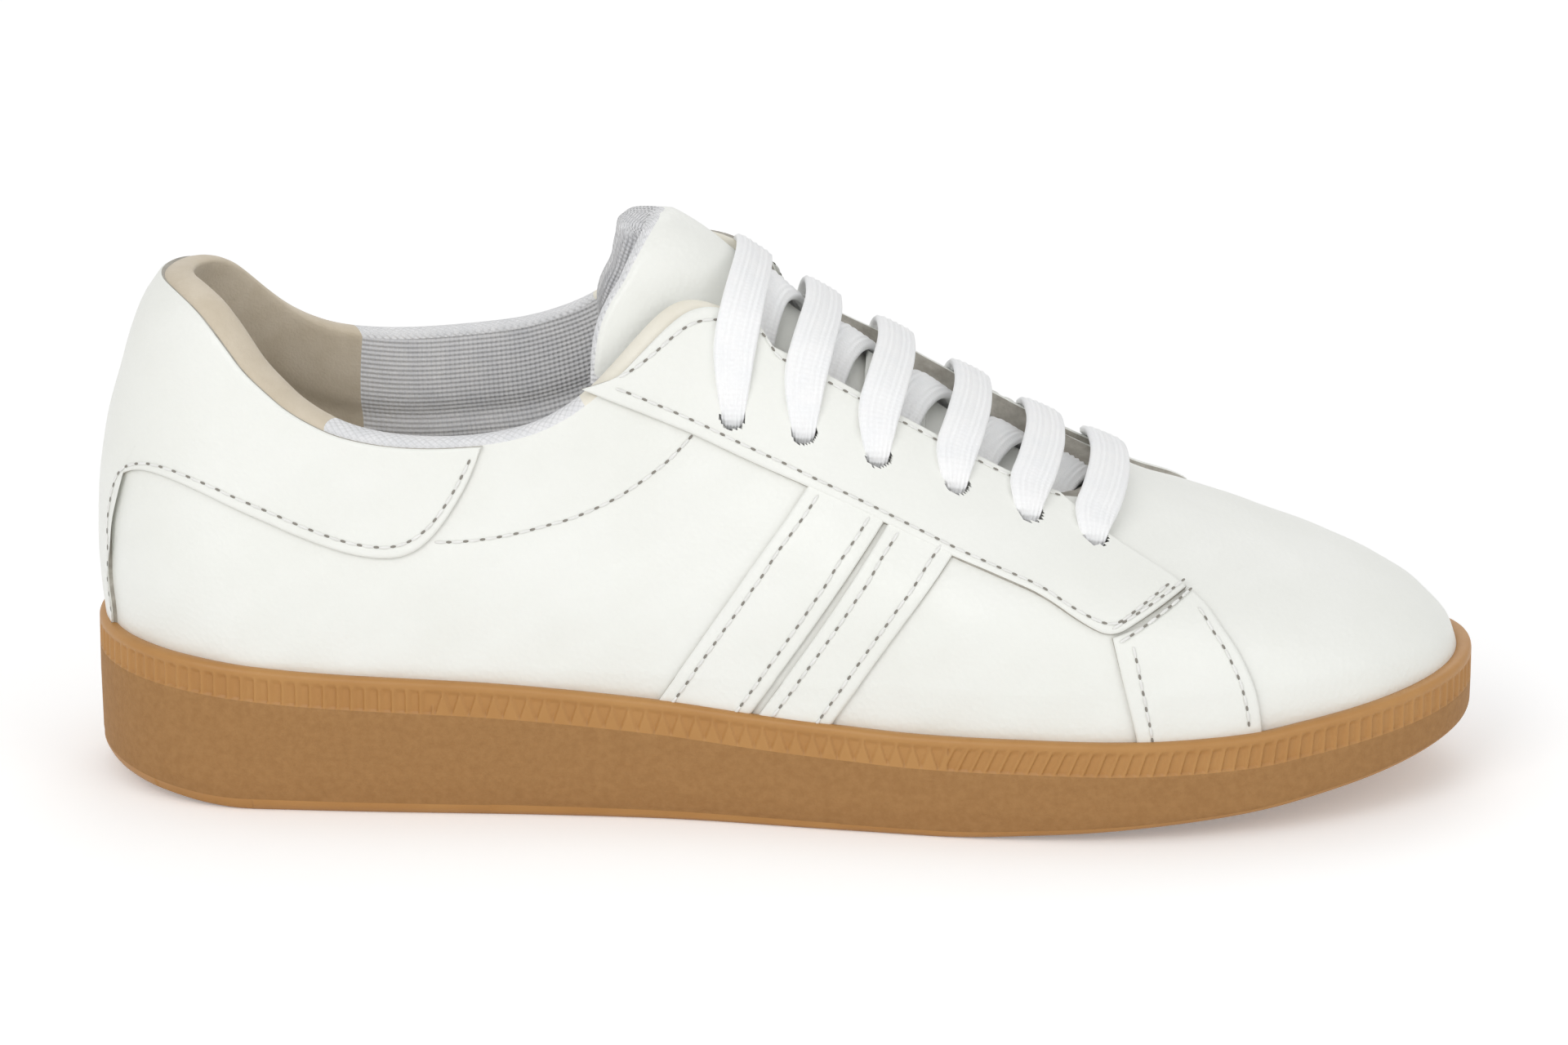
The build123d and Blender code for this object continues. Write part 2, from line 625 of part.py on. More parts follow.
with BuildPart() as quarter_lining_lateral:
    add(lining_shell.part)
    add(heel_region, mode=Mode.SUBTRACT)
    add(vamp_lining_region, mode=Mode.SUBTRACT)
    add(lateral_half, mode=Mode.INTERSECT)

with BuildPart() as quarter_lining_medial:
    add(lining_shell.part)
    add(heel_region, mode=Mode.SUBTRACT)
    add(vamp_lining_region, mode=Mode.SUBTRACT)
    add(lateral_half, mode=Mode.SUBTRACT)

with BuildPart() as collar_binding_lateral:
    add(binding_shell.part)
    add(heel_region, mode=Mode.SUBTRACT)
    add(lateral_half, mode=Mode.INTERSECT)

with BuildPart() as collar_binding_medial:
    add(binding_shell.part)
    add(heel_region, mode=Mode.SUBTRACT)
    add(lateral_half, mode=Mode.SUBTRACT)

# ---- Tongue ----
TONGUE_LEVELS = [32, 38, 44, 50, 56, 63, 71, 80, 90, 100, 112, 124]
tongue_outer = layer_solid(TONGUE_DEPTH, TONGUE_LEVELS)
tongue_foam_body = layer_solid(TONGUE_FOAM_DEPTH, TONGUE_LEVELS)
tongue_lining_body = layer_solid(TONGUE_LINING_DEPTH, TONGUE_LEVELS)
tongue_inner = layer_solid(TONGUE_INNER_DEPTH, TONGUE_LEVELS)
keeper_outer = layer_solid(TONGUE_DEPTH - KEEPER_T, TONGUE_LEVELS)

tongue_top = [(135, 135), (TONGUE_BASE_X, 90)]
tongue_region = side_block(TONGUE_END + tongue_top + TONGUE_LOW[:0:-1])
binding_end = [(x + TONGUE_BINDING_W, z) for x, z in TONGUE_END]
binding_region = side_block([(60, 60)] + binding_end + [(125, 135), (60, 135)])

with BuildPart() as tongue_shell:
    add(tongue_outer)
    add(tongue_inner, mode=Mode.SUBTRACT)
    add(tongue_region, mode=Mode.INTERSECT)

with BuildPart() as tongue_binding:
    add(tongue_shell.part)
    add(binding_region, mode=Mode.INTERSECT)

with BuildPart() as tongue_root:
    root_x = GRADE_X * (TONGUE_ROOT_X + TONGUE_BASE_X) / 2 - MID_X
    with BuildSketch(Plane.XY.offset(40 * GRADE_Z)):
        with Locations((root_x, GRADE_Y * sum(TONGUE_ROOT_YS) / 2 - MID_Y)):
            Rectangle(GRADE_X * (TONGUE_BASE_X - TONGUE_ROOT_X), TONGUE_ROOT_YS[1] - TONGUE_ROOT_YS[0])
    extrude(amount=60 * GRADE_Z)
    add(layer_solid(LINING_DEPTH + LACE_GAP, TONGUE_LEVELS), mode=Mode.INTERSECT)
    add(tongue_foam_body, mode=Mode.SUBTRACT)

with BuildPart() as tongue_leather:
    add(tongue_shell.part)
    add(tongue_foam_body, mode=Mode.SUBTRACT)
    add(binding_region, mode=Mode.SUBTRACT)
    add(tongue_root.part)

with BuildPart() as tongue_foam:
    add(tongue_shell.part)
    add(tongue_foam_body, mode=Mode.INTERSECT)
    add(tongue_lining_body, mode=Mode.SUBTRACT)
    add(binding_region, mode=Mode.SUBTRACT)

with BuildPart() as tongue_lining:
    add(tongue_shell.part)
    add(tongue_lining_body, mode=Mode.INTERSECT)
    add(binding_region, mode=Mode.SUBTRACT)

with BuildPart() as lace_keeper:
    with BuildSketch(Plane.XY.offset(50 * GRADE_Z)):
        with Locations((GRADE_X * sum(KEEPER_XS) / 2 - MID_X, GRADE_Y * sum(KEEPER_YS) / 2 - MID_Y)):
            Rectangle(KEEPER_XS[1] - KEEPER_XS[0], KEEPER_YS[1] - KEEPER_YS[0])
    extrude(amount=60 * GRADE_Z)
    add(keeper_outer, mode=Mode.INTERSECT)
    add(tongue_outer, mode=Mode.SUBTRACT)

# ---- Lace: straight bars on top, slanting runs beneath ----
lateral_eyelets = eyelets[0::2]
medial_eyelets = eyelets[1::2]


def tail_point(eyelet, forward, down, sink=0.0):
    """Point inside the upper, ahead of and below an eyelet, sunk further from the lining."""
    start = point_under(eyelet[0], eyelet[1], UNDER_LACE_DEPTH)
    x = start.X + MID_X + forward
    z = start.Z - down
    side = -1 if eyelet[1] < 0 else 1
    return Vector(x - MID_X, layer_side(x, z, side, UNDER_LACE_DEPTH + sink) - MID_Y, z)


def bar_points(x):
    """Run of a bar over both facings, from the medial eyelet to the lateral one."""
    rest_depth = OVER_LACE_DEPTH - LACE_GAP
    medial_rest = (THROAT_MEDIAL_Y + 4, THROAT_MEDIAL_Y - 1)
    lateral_rest = (THROAT_LATERAL_Y + 1, THROAT_LATERAL_Y - 4)
    over_medial = [point_on_layer(x, side_y, rest_depth) for side_y in medial_rest]
    over_lateral = [point_on_layer(x, side_y, rest_depth) for side_y in lateral_rest]
    crown = point_on_layer(x, THROAT_MIDDLE_Y, BAR_CROWN_DEPTH)
    bowed = (over_medial[-1].Z + over_lateral[0].Z) / 2 + BAR_BOW
    crown = Vector(crown.X, crown.Y, max(crown.Z, bowed))
    return over_medial + [crown] + over_lateral


def slant_points(x, next_x):
    """Run beneath the facings from a lateral eyelet forward to the next medial one."""
    stations = [
        (0.12, THROAT_LATERAL_Y - 1.5, UNDER_LACE_DEPTH),
        (0.30, THROAT_LATERAL_Y + 7, CROSSING_DEPTH),
        (0.50, THROAT_MIDDLE_Y, CROSSING_DEPTH),
        (0.70, THROAT_MEDIAL_Y - 7, CROSSING_DEPTH),
        (0.88, THROAT_MEDIAL_Y + 1.5, UNDER_LACE_DEPTH),
    ]
    return [point_on_layer(x + (next_x - x) * share, y, depth) for share, y, depth in stations]


lace_points = [
    tail_point(medial_eyelets[0], 9, 24, TAIL_SINK / 2), tail_point(medial_eyelets[0], 4, 13),
]
for row, (lateral, medial) in enumerate(zip(lateral_eyelets, medial_eyelets)):
    lace_points.append(point_under(medial[0], medial[1], UNDER_LACE_DEPTH))
    lace_points.append(point_under(medial[0], medial[1], OVER_LACE_DEPTH))
    lace_points += bar_points(medial[0])
    lace_points.append(point_under(lateral[0], lateral[1], OVER_LACE_DEPTH))
    lace_points.append(point_under(lateral[0], lateral[1], UNDER_LACE_DEPTH))
    if row + 1 < len(EYELET_XS):
        lace_points += slant_points(lateral[0], EYELET_XS[row + 1])
lace_points.append(tail_point(lateral_eyelets[-1], -7, 6))
lace_points.append(tail_point(lateral_eyelets[-1], -15, 9, TAIL_SINK))

with BuildPart() as lace:
    with BuildLine() as lace_path:
        FilletPolyline(*lace_points, radius=LACE_BEND_R)
    with BuildSketch(Plane(lace_path.line @ 0, z_dir=lace_path.line % 0)):
        Circle(LACE_D / 2)
    sweep(path=lace_path.line)


def aglet_solid(end, inner):
    """Tube closing the lace at one end, pointing on along the last run."""
    along = (end - inner).normalized()
    with BuildPart() as tube:
        with BuildSketch(Plane(end, z_dir=along)):
            Circle(AGLET_D / 2)
        extrude(amount=AGLET_LENGTH)
    return tube.part


with BuildPart() as aglet_start:
    add(aglet_solid(lace_points[0], lace_points[1]))

with BuildPart() as aglet_end:
    add(aglet_solid(lace_points[-1], lace_points[-2]))

# ---- Export ----
pieces = {
    "cupsole": cupsole, "midsole_insert": midsole_insert, "lasting_board": lasting_board,
    "sockliner_foam": sockliner_foam, "sockliner_cover": sockliner_cover, "vamp": vamp,
    "quarter_lateral": quarter_lateral, "quarter_medial": quarter_medial,
    "eyestay_lateral": eyestay_lateral, "eyestay_medial": eyestay_medial,
    "forefoot_overlay_lateral": forefoot_overlay_lateral,
    "forefoot_overlay_medial": forefoot_overlay_medial,
    "stripe_rear_lateral": stripe_rear_lateral, "stripe_front_lateral": stripe_front_lateral,
    "stripe_rear_medial": stripe_rear_medial, "stripe_front_medial": stripe_front_medial,
    "backstay": backstay, "toe_puff": toe_puff, "heel_counter": heel_counter,
    "quarter_interlining": quarter_interlining, "collar_foam_lateral": collar_foam_lateral,
    "collar_foam_medial": collar_foam_medial, "facing_stay_lateral": facing_stay_lateral,
    "facing_stay_medial": facing_stay_medial, "heel_lining": heel_lining,
    "vamp_lining": vamp_lining, "quarter_lining_lateral": quarter_lining_lateral,
    "quarter_lining_medial": quarter_lining_medial,
    "collar_binding_lateral": collar_binding_lateral,
    "collar_binding_medial": collar_binding_medial, "tongue_leather": tongue_leather,
    "tongue_foam": tongue_foam, "tongue_lining": tongue_lining,
    "tongue_binding": tongue_binding, "lace_keeper": lace_keeper, "lace": lace,
    "aglet_start": aglet_start, "aglet_end": aglet_end,
}
for name, piece in pieces.items():
    piece.part.label = name
    export_step(piece.part, f"parts/{name}.step")
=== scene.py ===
"""Looks of a right court shoe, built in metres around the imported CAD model.

Shapes are worked out in millimetres on the last (x from the heel, z from the ground) and turned
into the shared frame at the end: +X toe, -Y lateral side, +Z up.
"""

import logging
import math
from dataclasses import dataclass, field
from enum import Enum

import bpy
import numpy as np
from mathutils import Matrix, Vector

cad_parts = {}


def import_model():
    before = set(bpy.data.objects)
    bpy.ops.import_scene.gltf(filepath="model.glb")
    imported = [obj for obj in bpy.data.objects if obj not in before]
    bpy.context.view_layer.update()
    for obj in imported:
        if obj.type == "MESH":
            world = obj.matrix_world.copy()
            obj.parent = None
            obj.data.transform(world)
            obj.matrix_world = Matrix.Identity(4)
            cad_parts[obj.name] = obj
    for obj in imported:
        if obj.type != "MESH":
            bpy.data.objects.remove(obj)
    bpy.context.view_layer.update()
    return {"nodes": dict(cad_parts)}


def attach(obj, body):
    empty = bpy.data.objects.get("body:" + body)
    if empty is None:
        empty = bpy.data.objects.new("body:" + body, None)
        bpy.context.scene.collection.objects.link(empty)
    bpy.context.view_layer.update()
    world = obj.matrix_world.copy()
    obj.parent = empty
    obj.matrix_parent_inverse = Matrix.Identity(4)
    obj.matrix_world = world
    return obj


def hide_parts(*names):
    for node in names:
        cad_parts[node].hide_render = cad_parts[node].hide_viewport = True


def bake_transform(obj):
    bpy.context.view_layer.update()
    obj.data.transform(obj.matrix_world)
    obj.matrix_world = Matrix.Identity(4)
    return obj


LOG = logging.getLogger("court_shoe")
MM = 0.001
# Middle of the last's own millimetre coordinates, which the shared frame puts at its origin.
MID_X = 136.0
MID_Y = 4.2836
# How far the soft unevenness of the leather swings, slowly and quickly, in millimetres.
SLOW_WOBBLE = 0.22
FAST_WOBBLE = 0.10
# Radius round an eyelet in which faces are tested against its hole.
HOLE_REACH = 9.0
# Height of thread above the leather it is sewn through, and of the toe rows above the skin.
THREAD_LIFT = 0.10
TOE_ROW_LIFT = 1.45
Grid = np.ndarray
Curve = np.ndarray


class Side(Enum):
    """The two sides of the shoe, as the sign of sideways."""

    LATERAL = -1
    MEDIAL = 1


class Body(Enum):
    """CAD bodies that pieces ride on."""

    UPPER = "upper_and_sole"
    TONGUE = "tongue"


# --------------------------------------------------------------------------- last


class Knots:
    """A smooth line through (input, value) pairs that never overshoots them."""

    def __init__(self, pairs: list[tuple[float, float]]) -> None:
        """Work out the slope at every pair.

        Args:
            pairs: inputs in rising order, each with its value.
        """
        self.x = np.array([pair[0] for pair in pairs], float)
        self.y = np.array([pair[1] for pair in pairs], float)
        h = np.diff(self.x)
        s = np.diff(self.y) / h
        m = np.empty_like(self.x)
        m[0], m[-1] = s[0], s[-1]
        for i in range(1, len(s)):
            if s[i - 1] * s[i] <= 0:
                m[i] = 0.0
                continue
            w1, w2 = 2 * h[i] + h[i - 1], h[i] + 2 * h[i - 1]
            m[i] = (w1 + w2) / (w1 / s[i - 1] + w2 / s[i])
        self.h, self.m = h, m

    def __call__(self, value: Grid) -> Grid:
        """Return the line's value at each input, straight on past both ends.

        Args:
            value: inputs to look up.
        Returns:
            The values, in the shape of the inputs.
        """
        v = np.asarray(value, float)
        i = np.clip(np.searchsorted(self.x, v) - 1, 0, len(self.h) - 1)
        t = (v - self.x[i]) / self.h[i]
        inside = (
            (1 + 2 * t) * (1 - t) ** 2 * self.y[i]
            + t * (1 - t) ** 2 * self.h[i] * self.m[i]
            + t * t * (3 - 2 * t) * self.y[i + 1]
            - t * t * (1 - t) * self.h[i] * self.m[i + 1]
        )
        low = self.y[0] + self.m[0] * (v - self.x[0])
        high = self.y[-1] + self.m[-1] * (v - self.x[-1])
        return np.where(v <= self.x[0], low, np.where(v >= self.x[-1], high, inside))


def run_along(points: Grid) -> Grid:
    """Return the length from the first point of a line to each of its points."""
    return np.concatenate([[0], np.cumsum(np.linalg.norm(np.diff(points, axis=0), axis=1))])


def at_runs(want: Grid, run: Grid, values: Grid) -> Grid:
    """Interpolate every column of values known at some lengths, at the wanted lengths."""
    return np.stack([np.interp(want, run, values[:, k]) for k in range(values.shape[1])], -1)


@dataclass
class Last:
    """The foot form that every layer of the upper is drawn on."""

    heel_round: float = 33.0
    toe_round: float = 80.0
    heel_power: float = 2.0
    toe_power: float = 2.15
    collar_foam: float = 2.7
    bulge: float = 1.6
    bulge_z: float = 44.0
    bulge_spread: float = 13.0
    bulge_end: float = 250.0
    bulge_fade: float = 50.0
    lean_from: float = 30.0
    lowest: float = 30.0
    highest: float = 125.0
    halvings: int = 34
    heel: Knots = field(default_factory=lambda: Knots([
        (4, 3.6), (32, 2.5), (45, 1.2), (52, 1.3), (59.4, 2.0), (67, 3.0), (75.4, 4.7),
        (83, 6.9), (89, 8.7), (95, 10.9), (100.5, 14.5), (124, 29)]))
    crest: Knots = field(default_factory=lambda: Knots([
        (4, 268.0), (24, 269.2), (29, 268.0), (35, 263.0), (41.3, 252.5), (48.5, 234.0),
        (55, 214.5), (61.5, 200), (69.8, 183.5), (84, 161.5), (99.5, 140.0), (106, 133.5),
        (111, 128.0), (114.7, 123.0), (118, 117.0), (122, 109.5), (126, 101.5)]))
    widths: dict = field(default_factory=lambda: {
        Side.LATERAL: Knots([(0, 31), (30, 31), (70, 32.5), (110, 36), (150, 42.5),
                             (180, 46.5), (205, 47.5), (240, 46), (272, 44)]),
        Side.MEDIAL: Knots([(0, 31), (30, 31), (70, 29.5), (105, 29), (140, 33),
                            (180, 40.5), (205, 44), (240, 46), (272, 44)])})
    centre: Knots = field(default_factory=lambda: Knots([
        (0, 0), (40, 0), (130, 5.0), (190, 6.0), (272, 7.0)]))
    lean: Knots = field(default_factory=lambda: Knots([
        (0, 0.085), (70, 0.10), (130, 0.15), (180, 0.12), (230, 0.05), (272, 0.02)]))
    pad_length: Knots = field(default_factory=lambda: Knots([
        (0, 1.0), (84, 1.0), (116, 0.0), (272, 0.0)]))
    pad_height: Knots = field(default_factory=lambda: Knots([
        (0, 0.0), (48, 0.0), (64, 1.0), (130, 1.0)]))

    def padding(self, x: Grid, z: Grid) -> Grid:
        """Return the extra foam thickness round the ankle."""
        return self.collar_foam * self.pad_length(x) * self.pad_height(z)

    @staticmethod
    def rounding(share: Grid, power: float) -> Grid:
        """Return the rounded end factor, 0 at the end and 1 past the rounding."""
        left = 1 - np.clip(share, 0, 1)
        return (1 - left**power) ** (1 / power)

    def spans(self, z: Grid, depth: Grid, padded: bool) -> tuple[Grid, Grid]:
        """Return the heel and toe ends of a level slice of a layer.

        Args:
            z: height from the ground.
            depth: how far under the leather's outer face.
            padded: whether the collar padding pushes the layer further in.
        Returns:
            The x of the heel end and of the toe end.
        """
        slope = (self.crest(z + 1) - self.crest(z - 1)) / 2
        front = self.crest(z) - depth * np.sqrt(1 + slope * slope)
        pad = self.padding(0.0, z) if padded else 0.0
        return self.heel(z) + depth + pad, front

    def point(self, phi: Grid, z: Grid, depth: Grid = 0.0, padded: bool = False) -> Grid:
        """Place layer points.

        Args:
            phi: angle round the shoe, 0 at the heel, pi at the toe, lateral side first.
            z: height from the ground.
            depth: how far under the leather's outer face.
            padded: whether the collar padding pushes the layer further in.
        Returns:
            Points in millimetres in the shared frame, last axis x, y, z.
        """
        phi, z, depth = np.broadcast_arrays(*(np.asarray(a, float) for a in (phi, z, depth)))
        back, front = self.spans(z, depth, padded)
        x = back + (front - back) * (1 - np.cos(phi)) / 2
        sign = np.where(np.sin(phi) >= 0, -1.0, 1.0)
        deep = depth + (self.padding(x, z) if padded else 0.0)
        width = np.where(sign < 0, self.widths[Side.LATERAL](x), self.widths[Side.MEDIAL](x))
        bulge = self.bulge * np.exp(-(((z - self.bulge_z) / self.bulge_spread) ** 2))
        bulge = bulge * np.clip((self.bulge_end - x) / self.bulge_fade, 0, 1)
        width = width - self.lean(x) * np.maximum(z - self.lean_from, 0) + bulge - deep
        ends = self.rounding((x - back) / self.heel_round, self.heel_power)
        ends = ends * self.rounding((front - x) / self.toe_round, self.toe_power)
        y = self.centre(x) + sign * width * ends
        return np.stack([x - MID_X, y - MID_Y, z], -1)

    def normal(self, phi: Grid, z: Grid, depth: Grid = 0.0, padded: bool = False) -> Grid:
        """Return the outward unit normal of a layer.

        Args:
            phi: angle round the shoe.
            z: height from the ground.
            depth: how far under the leather's outer face.
            padded: whether the collar padding pushes the layer further in.
        Returns:
            Unit directions, last axis x, y, z.
        """
        turn, rise = 0.004, 0.4
        around = (self.point(phi + turn, z, depth, padded)
                  - self.point(phi - turn, z, depth, padded))
        upward = (self.point(phi, z + rise, depth, padded)
                  - self.point(phi, z - rise, depth, padded))
        normal = np.cross(around, upward)
        return normal / np.maximum(np.linalg.norm(normal, axis=-1, keepdims=True), 1e-9)

    def raised(self, phi: Grid, z: Grid, height: Grid) -> Grid:
        """Return leather points moved out by a height, with the leather's soft unevenness.

        Args:
            phi: angle round the shoe.
            z: height from the ground.
            height: how far outside the leather.
        Returns:
            Points in millimetres in the shared frame.
        """
        base = self.point(phi, z)
        total = np.asarray(height) + hand_wobble(base)
        return base + self.normal(phi, z) * total[..., None]

    def angle(self, x: Grid, z: Grid, side: Side, depth: float = 0.0) -> Grid:
        """Return the angle round the shoe of side-view points.

        Args:
            x: length from the heel.
            z: height from the ground.
            side: side of the shoe.
            depth: how far under the leather's outer face.
        Returns:
            The angle of each point, 0 to pi laterally and pi to 2 pi medially.
        """
        back, front = self.spans(np.asarray(z, float), depth, False)
        share = np.clip((np.asarray(x, float) - back) / (front - back), 0, 1)
        phi = np.arccos(1 - 2 * share)
        return phi if side is Side.LATERAL else 2 * math.pi - phi

    def height(self, x: Grid, y: Grid, side: Side, depth: float = 0.0) -> Grid:
        """Return the height of a layer over plan points on one side.

        Args:
            x: length from the heel.
            y: distance sideways from the last's axis.
            side: side of the shoe.
            depth: how far under the leather's outer face.
        Returns:
            The height of the layer over each point.
        """
        x, y = np.broadcast_arrays(np.asarray(x, float), np.asarray(y, float))
        low, high = np.full(x.shape, self.lowest), np.full(x.shape, self.highest)
        for _ in range(self.halvings):
            mid = (low + high) / 2
            front = self.spans(mid, depth, False)[1]
            here = self.point(self.angle(x, mid, side, depth), mid, depth)[..., 1] + MID_Y
            outside = (x > front) | (side.value * (here - y) < 0)
            low, high = np.where(outside, low, mid), np.where(outside, mid, high)
        return low

    @staticmethod
    def dense(pairs: list, step: float = 1.2) -> Curve:
        """Fill a broken line with points no further apart than a step.

        Args:
            pairs: corners of the line.
            step: widest gap allowed, in millimetres.
        Returns:
            The line with its extra points.
        """
        array = np.array(pairs, float)
        run = run_along(array)
        want = np.linspace(0, run[-1], max(2, int(run[-1] / step) + 1))
        return at_runs(want, run, array)

    def edge(self, pairs: list, side: Side) -> Curve:
        """Turn a side-view (x, z) line into (angle, height) pairs.

        Args:
            pairs: side-view corners of the line.
            side: side of the shoe.
        Returns:
            The line, smoothed, in angle and height.
        """
        array = np.array(pairs, float)
        if len(pairs) > 1:
            array = self.dense(smooth_line(array, 2))
        return np.stack([self.angle(array[:, 0], array[:, 1], side), array[:, 1]], -1)

    def plan_edge(self, pairs: list, side: Side) -> Curve:
        """Turn a plan (x, y) line into (angle, height) pairs.

        Args:
            pairs: plan corners of the line.
            side: side of the shoe.
        Returns:
            The line in angle and height.
        """
        array = self.dense(pairs) if len(pairs) > 1 else np.array(pairs, float)
        z = self.height(array[:, 0], array[:, 1], side)
        return np.stack([self.angle(array[:, 0], z, side), z], -1)


LAST = Last()


# --------------------------------------------------------------------------- mesh tools


def resample(curve: Curve, count: int) -> Curve:
    """Spread points evenly along an (angle, height) curve, by length on the last."""
    run = run_along(LAST.point(curve[:, 0], curve[:, 1]))
    return at_runs(np.linspace(0, run[-1], count), run, curve)


def smooth_line(points: Curve, passes: int = 2) -> Curve:
    """Cut the corners of an open line a few times, keeping its ends.

    Args:
        points: points of the line, in any number of columns.
        passes: how many times to cut the corners.
    Returns:
        The smoother line.
    """
    for _ in range(passes):
        near, far = points[:-1], points[1:]
        cut = np.empty((2 * len(near), points.shape[1]))
        cut[0::2], cut[1::2] = near * 0.75 + far * 0.25, near * 0.25 + far * 0.75
        points = np.concatenate([points[:1], cut[1:-1], points[-1:]])
    return points


def grid_normals(grid: Grid) -> Grid:
    """Return the unit outward normals of a closed grid whose columns go round the shoe.

    Args:
        grid: points by column and row, rows running upwards.
    Returns:
        Unit directions, one for every point.
    """
    around = np.roll(grid, -1, 0) - np.roll(grid, 1, 0)
    upward = np.gradient(grid, axis=1)
    normal = np.cross(around, upward)
    return normal / np.maximum(np.linalg.norm(normal, axis=-1, keepdims=True), 1e-9)


def hand_wobble(points: Grid) -> Grid:
    """Small soft unevenness of hand-lasted leather, in millimetres, the same for all layers.

    Args:
        points: leather points in millimetres.
    Returns:
        How far each point moves out.
    """
    x, y, z = points[..., 0], points[..., 1], points[..., 2]
    slow = np.sin(x * 0.11 + 1.3) * np.sin(z * 0.17 + y * 0.05 + 0.4)
    fast = np.sin(x * 0.31 - z * 0.23 + 2.1) * np.sin(y * 0.19 + z * 0.29)
    return SLOW_WOBBLE * slow + FAST_WOBBLE * fast


def new_object(name: str, points: Grid, faces: Grid | list, finishes: list,
               face_finish: Grid | list | None = None) -> bpy.types.Object:
    """Make a mesh object from millimetre points.

    Args:
        name: object name.
        points: N by 3 millimetre points in the shared frame.
        faces: vertex index tuples, or an M by 4 array.
        finishes: materials, first one is the default.
        face_finish: index of the material of each face.
    Returns:
        The linked object.
    """
    mesh = bpy.data.meshes.new(name)
    flat = np.asarray(points, float).reshape(-1, 3) * MM
    mesh.from_pydata(flat.tolist(), [], [tuple(int(i) for i in f) for f in faces])
    for finish in finishes:
        mesh.materials.append(finish)
    if face_finish is not None:
        mesh.polygons.foreach_set("material_index", np.asarray(face_finish, np.int32))
    mesh.polygons.foreach_set("use_smooth", np.full(len(mesh.polygons), True))
    mesh.validate()
    mesh.update()
    piece = bpy.data.objects.new(name, mesh)
    bpy.context.scene.collection.objects.link(piece)
    return piece


def quad_faces(columns: int, rows: int, wrap: bool = False, flip: bool = False) -> Grid:
    """Quads of a columns by rows point grid, stored column after column.

    Args:
        columns: number of columns.
        rows: number of rows.
        wrap: join the last column to the first.
        flip: turn the faces over.
    Returns:
        Four point numbers for every quad.
    """
    i, j = np.meshgrid(np.arange(columns if wrap else columns - 1), np.arange(rows - 1),
                       indexing="ij")
    k = (i + 1) % columns
    quads = np.stack([i * rows + j, k * rows + j, k * rows + j + 1, i * rows + j + 1], -1)
    quads = quads.reshape(-1, 4)
    return quads[:, ::-1] if flip else quads


def ring_quads(rings: int, sides: int) -> Grid:
    """Return the quads that join every ring of points to the next one.

    Args:
        rings: number of rings.
        sides: points in a ring.
    Returns:
        Four point numbers for every quad.
    """
    i, j = np.meshgrid(np.arange(rings - 1), np.arange(sides), indexing="ij")
    k = (j + 1) % sides
    quads = np.stack([i * sides + j, (i + 1) * sides + j, (i + 1) * sides + k, i * sides + k], -1)
    return quads.reshape(-1, 4)


def kept_part(points: Grid, faces: Grid, keep: Grid) -> tuple[Grid, Grid, Grid]:
    """Return the points of the kept faces, those faces, and the old numbers of the points.

    Args:
        points: points of the whole set.
        faces: faces of the whole set.
        keep: true for every face to keep.
    Returns:
        The points, the renumbered faces and the old point numbers.
    """
    kept = faces[keep]
    used, renamed = np.unique(kept, return_inverse=True)
    return points[used], renamed.reshape(kept.shape), used


def set_uv(piece: bpy.types.Object, uv: Grid) -> None:
    """Store millimetre surface coordinates of every vertex as the piece's UV map.

    Args:
        piece: the mesh object.
        uv: two coordinates for every vertex.
    """
    mesh = piece.data
    layer = mesh.uv_layers.new(name="surface_mm")
    index = np.empty(len(mesh.loops), np.int32)
    mesh.loops.foreach_get("vertex_index", index)
    layer.data.foreach_set("uv", (np.asarray(uv).reshape(-1, 2)[index]).ravel())


def finish_piece(piece: bpy.types.Object, body: Body, slot: str, *nodes: str) -> None:
    """Ride a piece on its body and hide the CAD nodes it stands for.

    Args:
        piece: the mesh object.
        body: the body it moves with.
        slot: name of its material slot; not used.
        *nodes: CAD nodes it stands for.
    """
    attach(piece, body.value)
    if nodes:
        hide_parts(*nodes)
    LOG.info("%s: %d faces on %s", piece.name, len(piece.data.polygons), body.value)


# --------------------------------------------------------------------------- finishes


def linear(hex_colour: str) -> tuple[float, float, float, float]:
    """Turn an sRGB hex colour into linear RGBA.

    Args:
        hex_colour: a colour such as #AABBCC.
    Returns:
        Red, green, blue and full opacity.
    """
    parts = [int(hex_colour[i:i + 2], 16) / 255 for i in (1, 3, 5)]
    rgb = [p / 12.92 if p <= 0.04045 else ((p + 0.055) / 1.055) ** 2.4 for p in parts]
    return (*rgb, 1.0)


def add_node(tree: bpy.types.NodeTree, kind: str, settings: dict | None = None,
             links: dict | None = None) -> bpy.types.Node:
    """Add a node.

    Args:
        tree: the material's node tree.
        kind: node type name.
        settings: attribute names or input names and their values.
        links: input names and the output sockets that feed them.
    Returns:
        The new node.
    """
    node = tree.nodes.new(kind)
    for key, value in (settings or {}).items():
        if isinstance(key, str) and hasattr(node, key):
            setattr(node, key, value)
        else:
            node.inputs[key].default_value = value
    for key, socket in (links or {}).items():
        tree.links.new(socket, node.inputs[key])
    return node


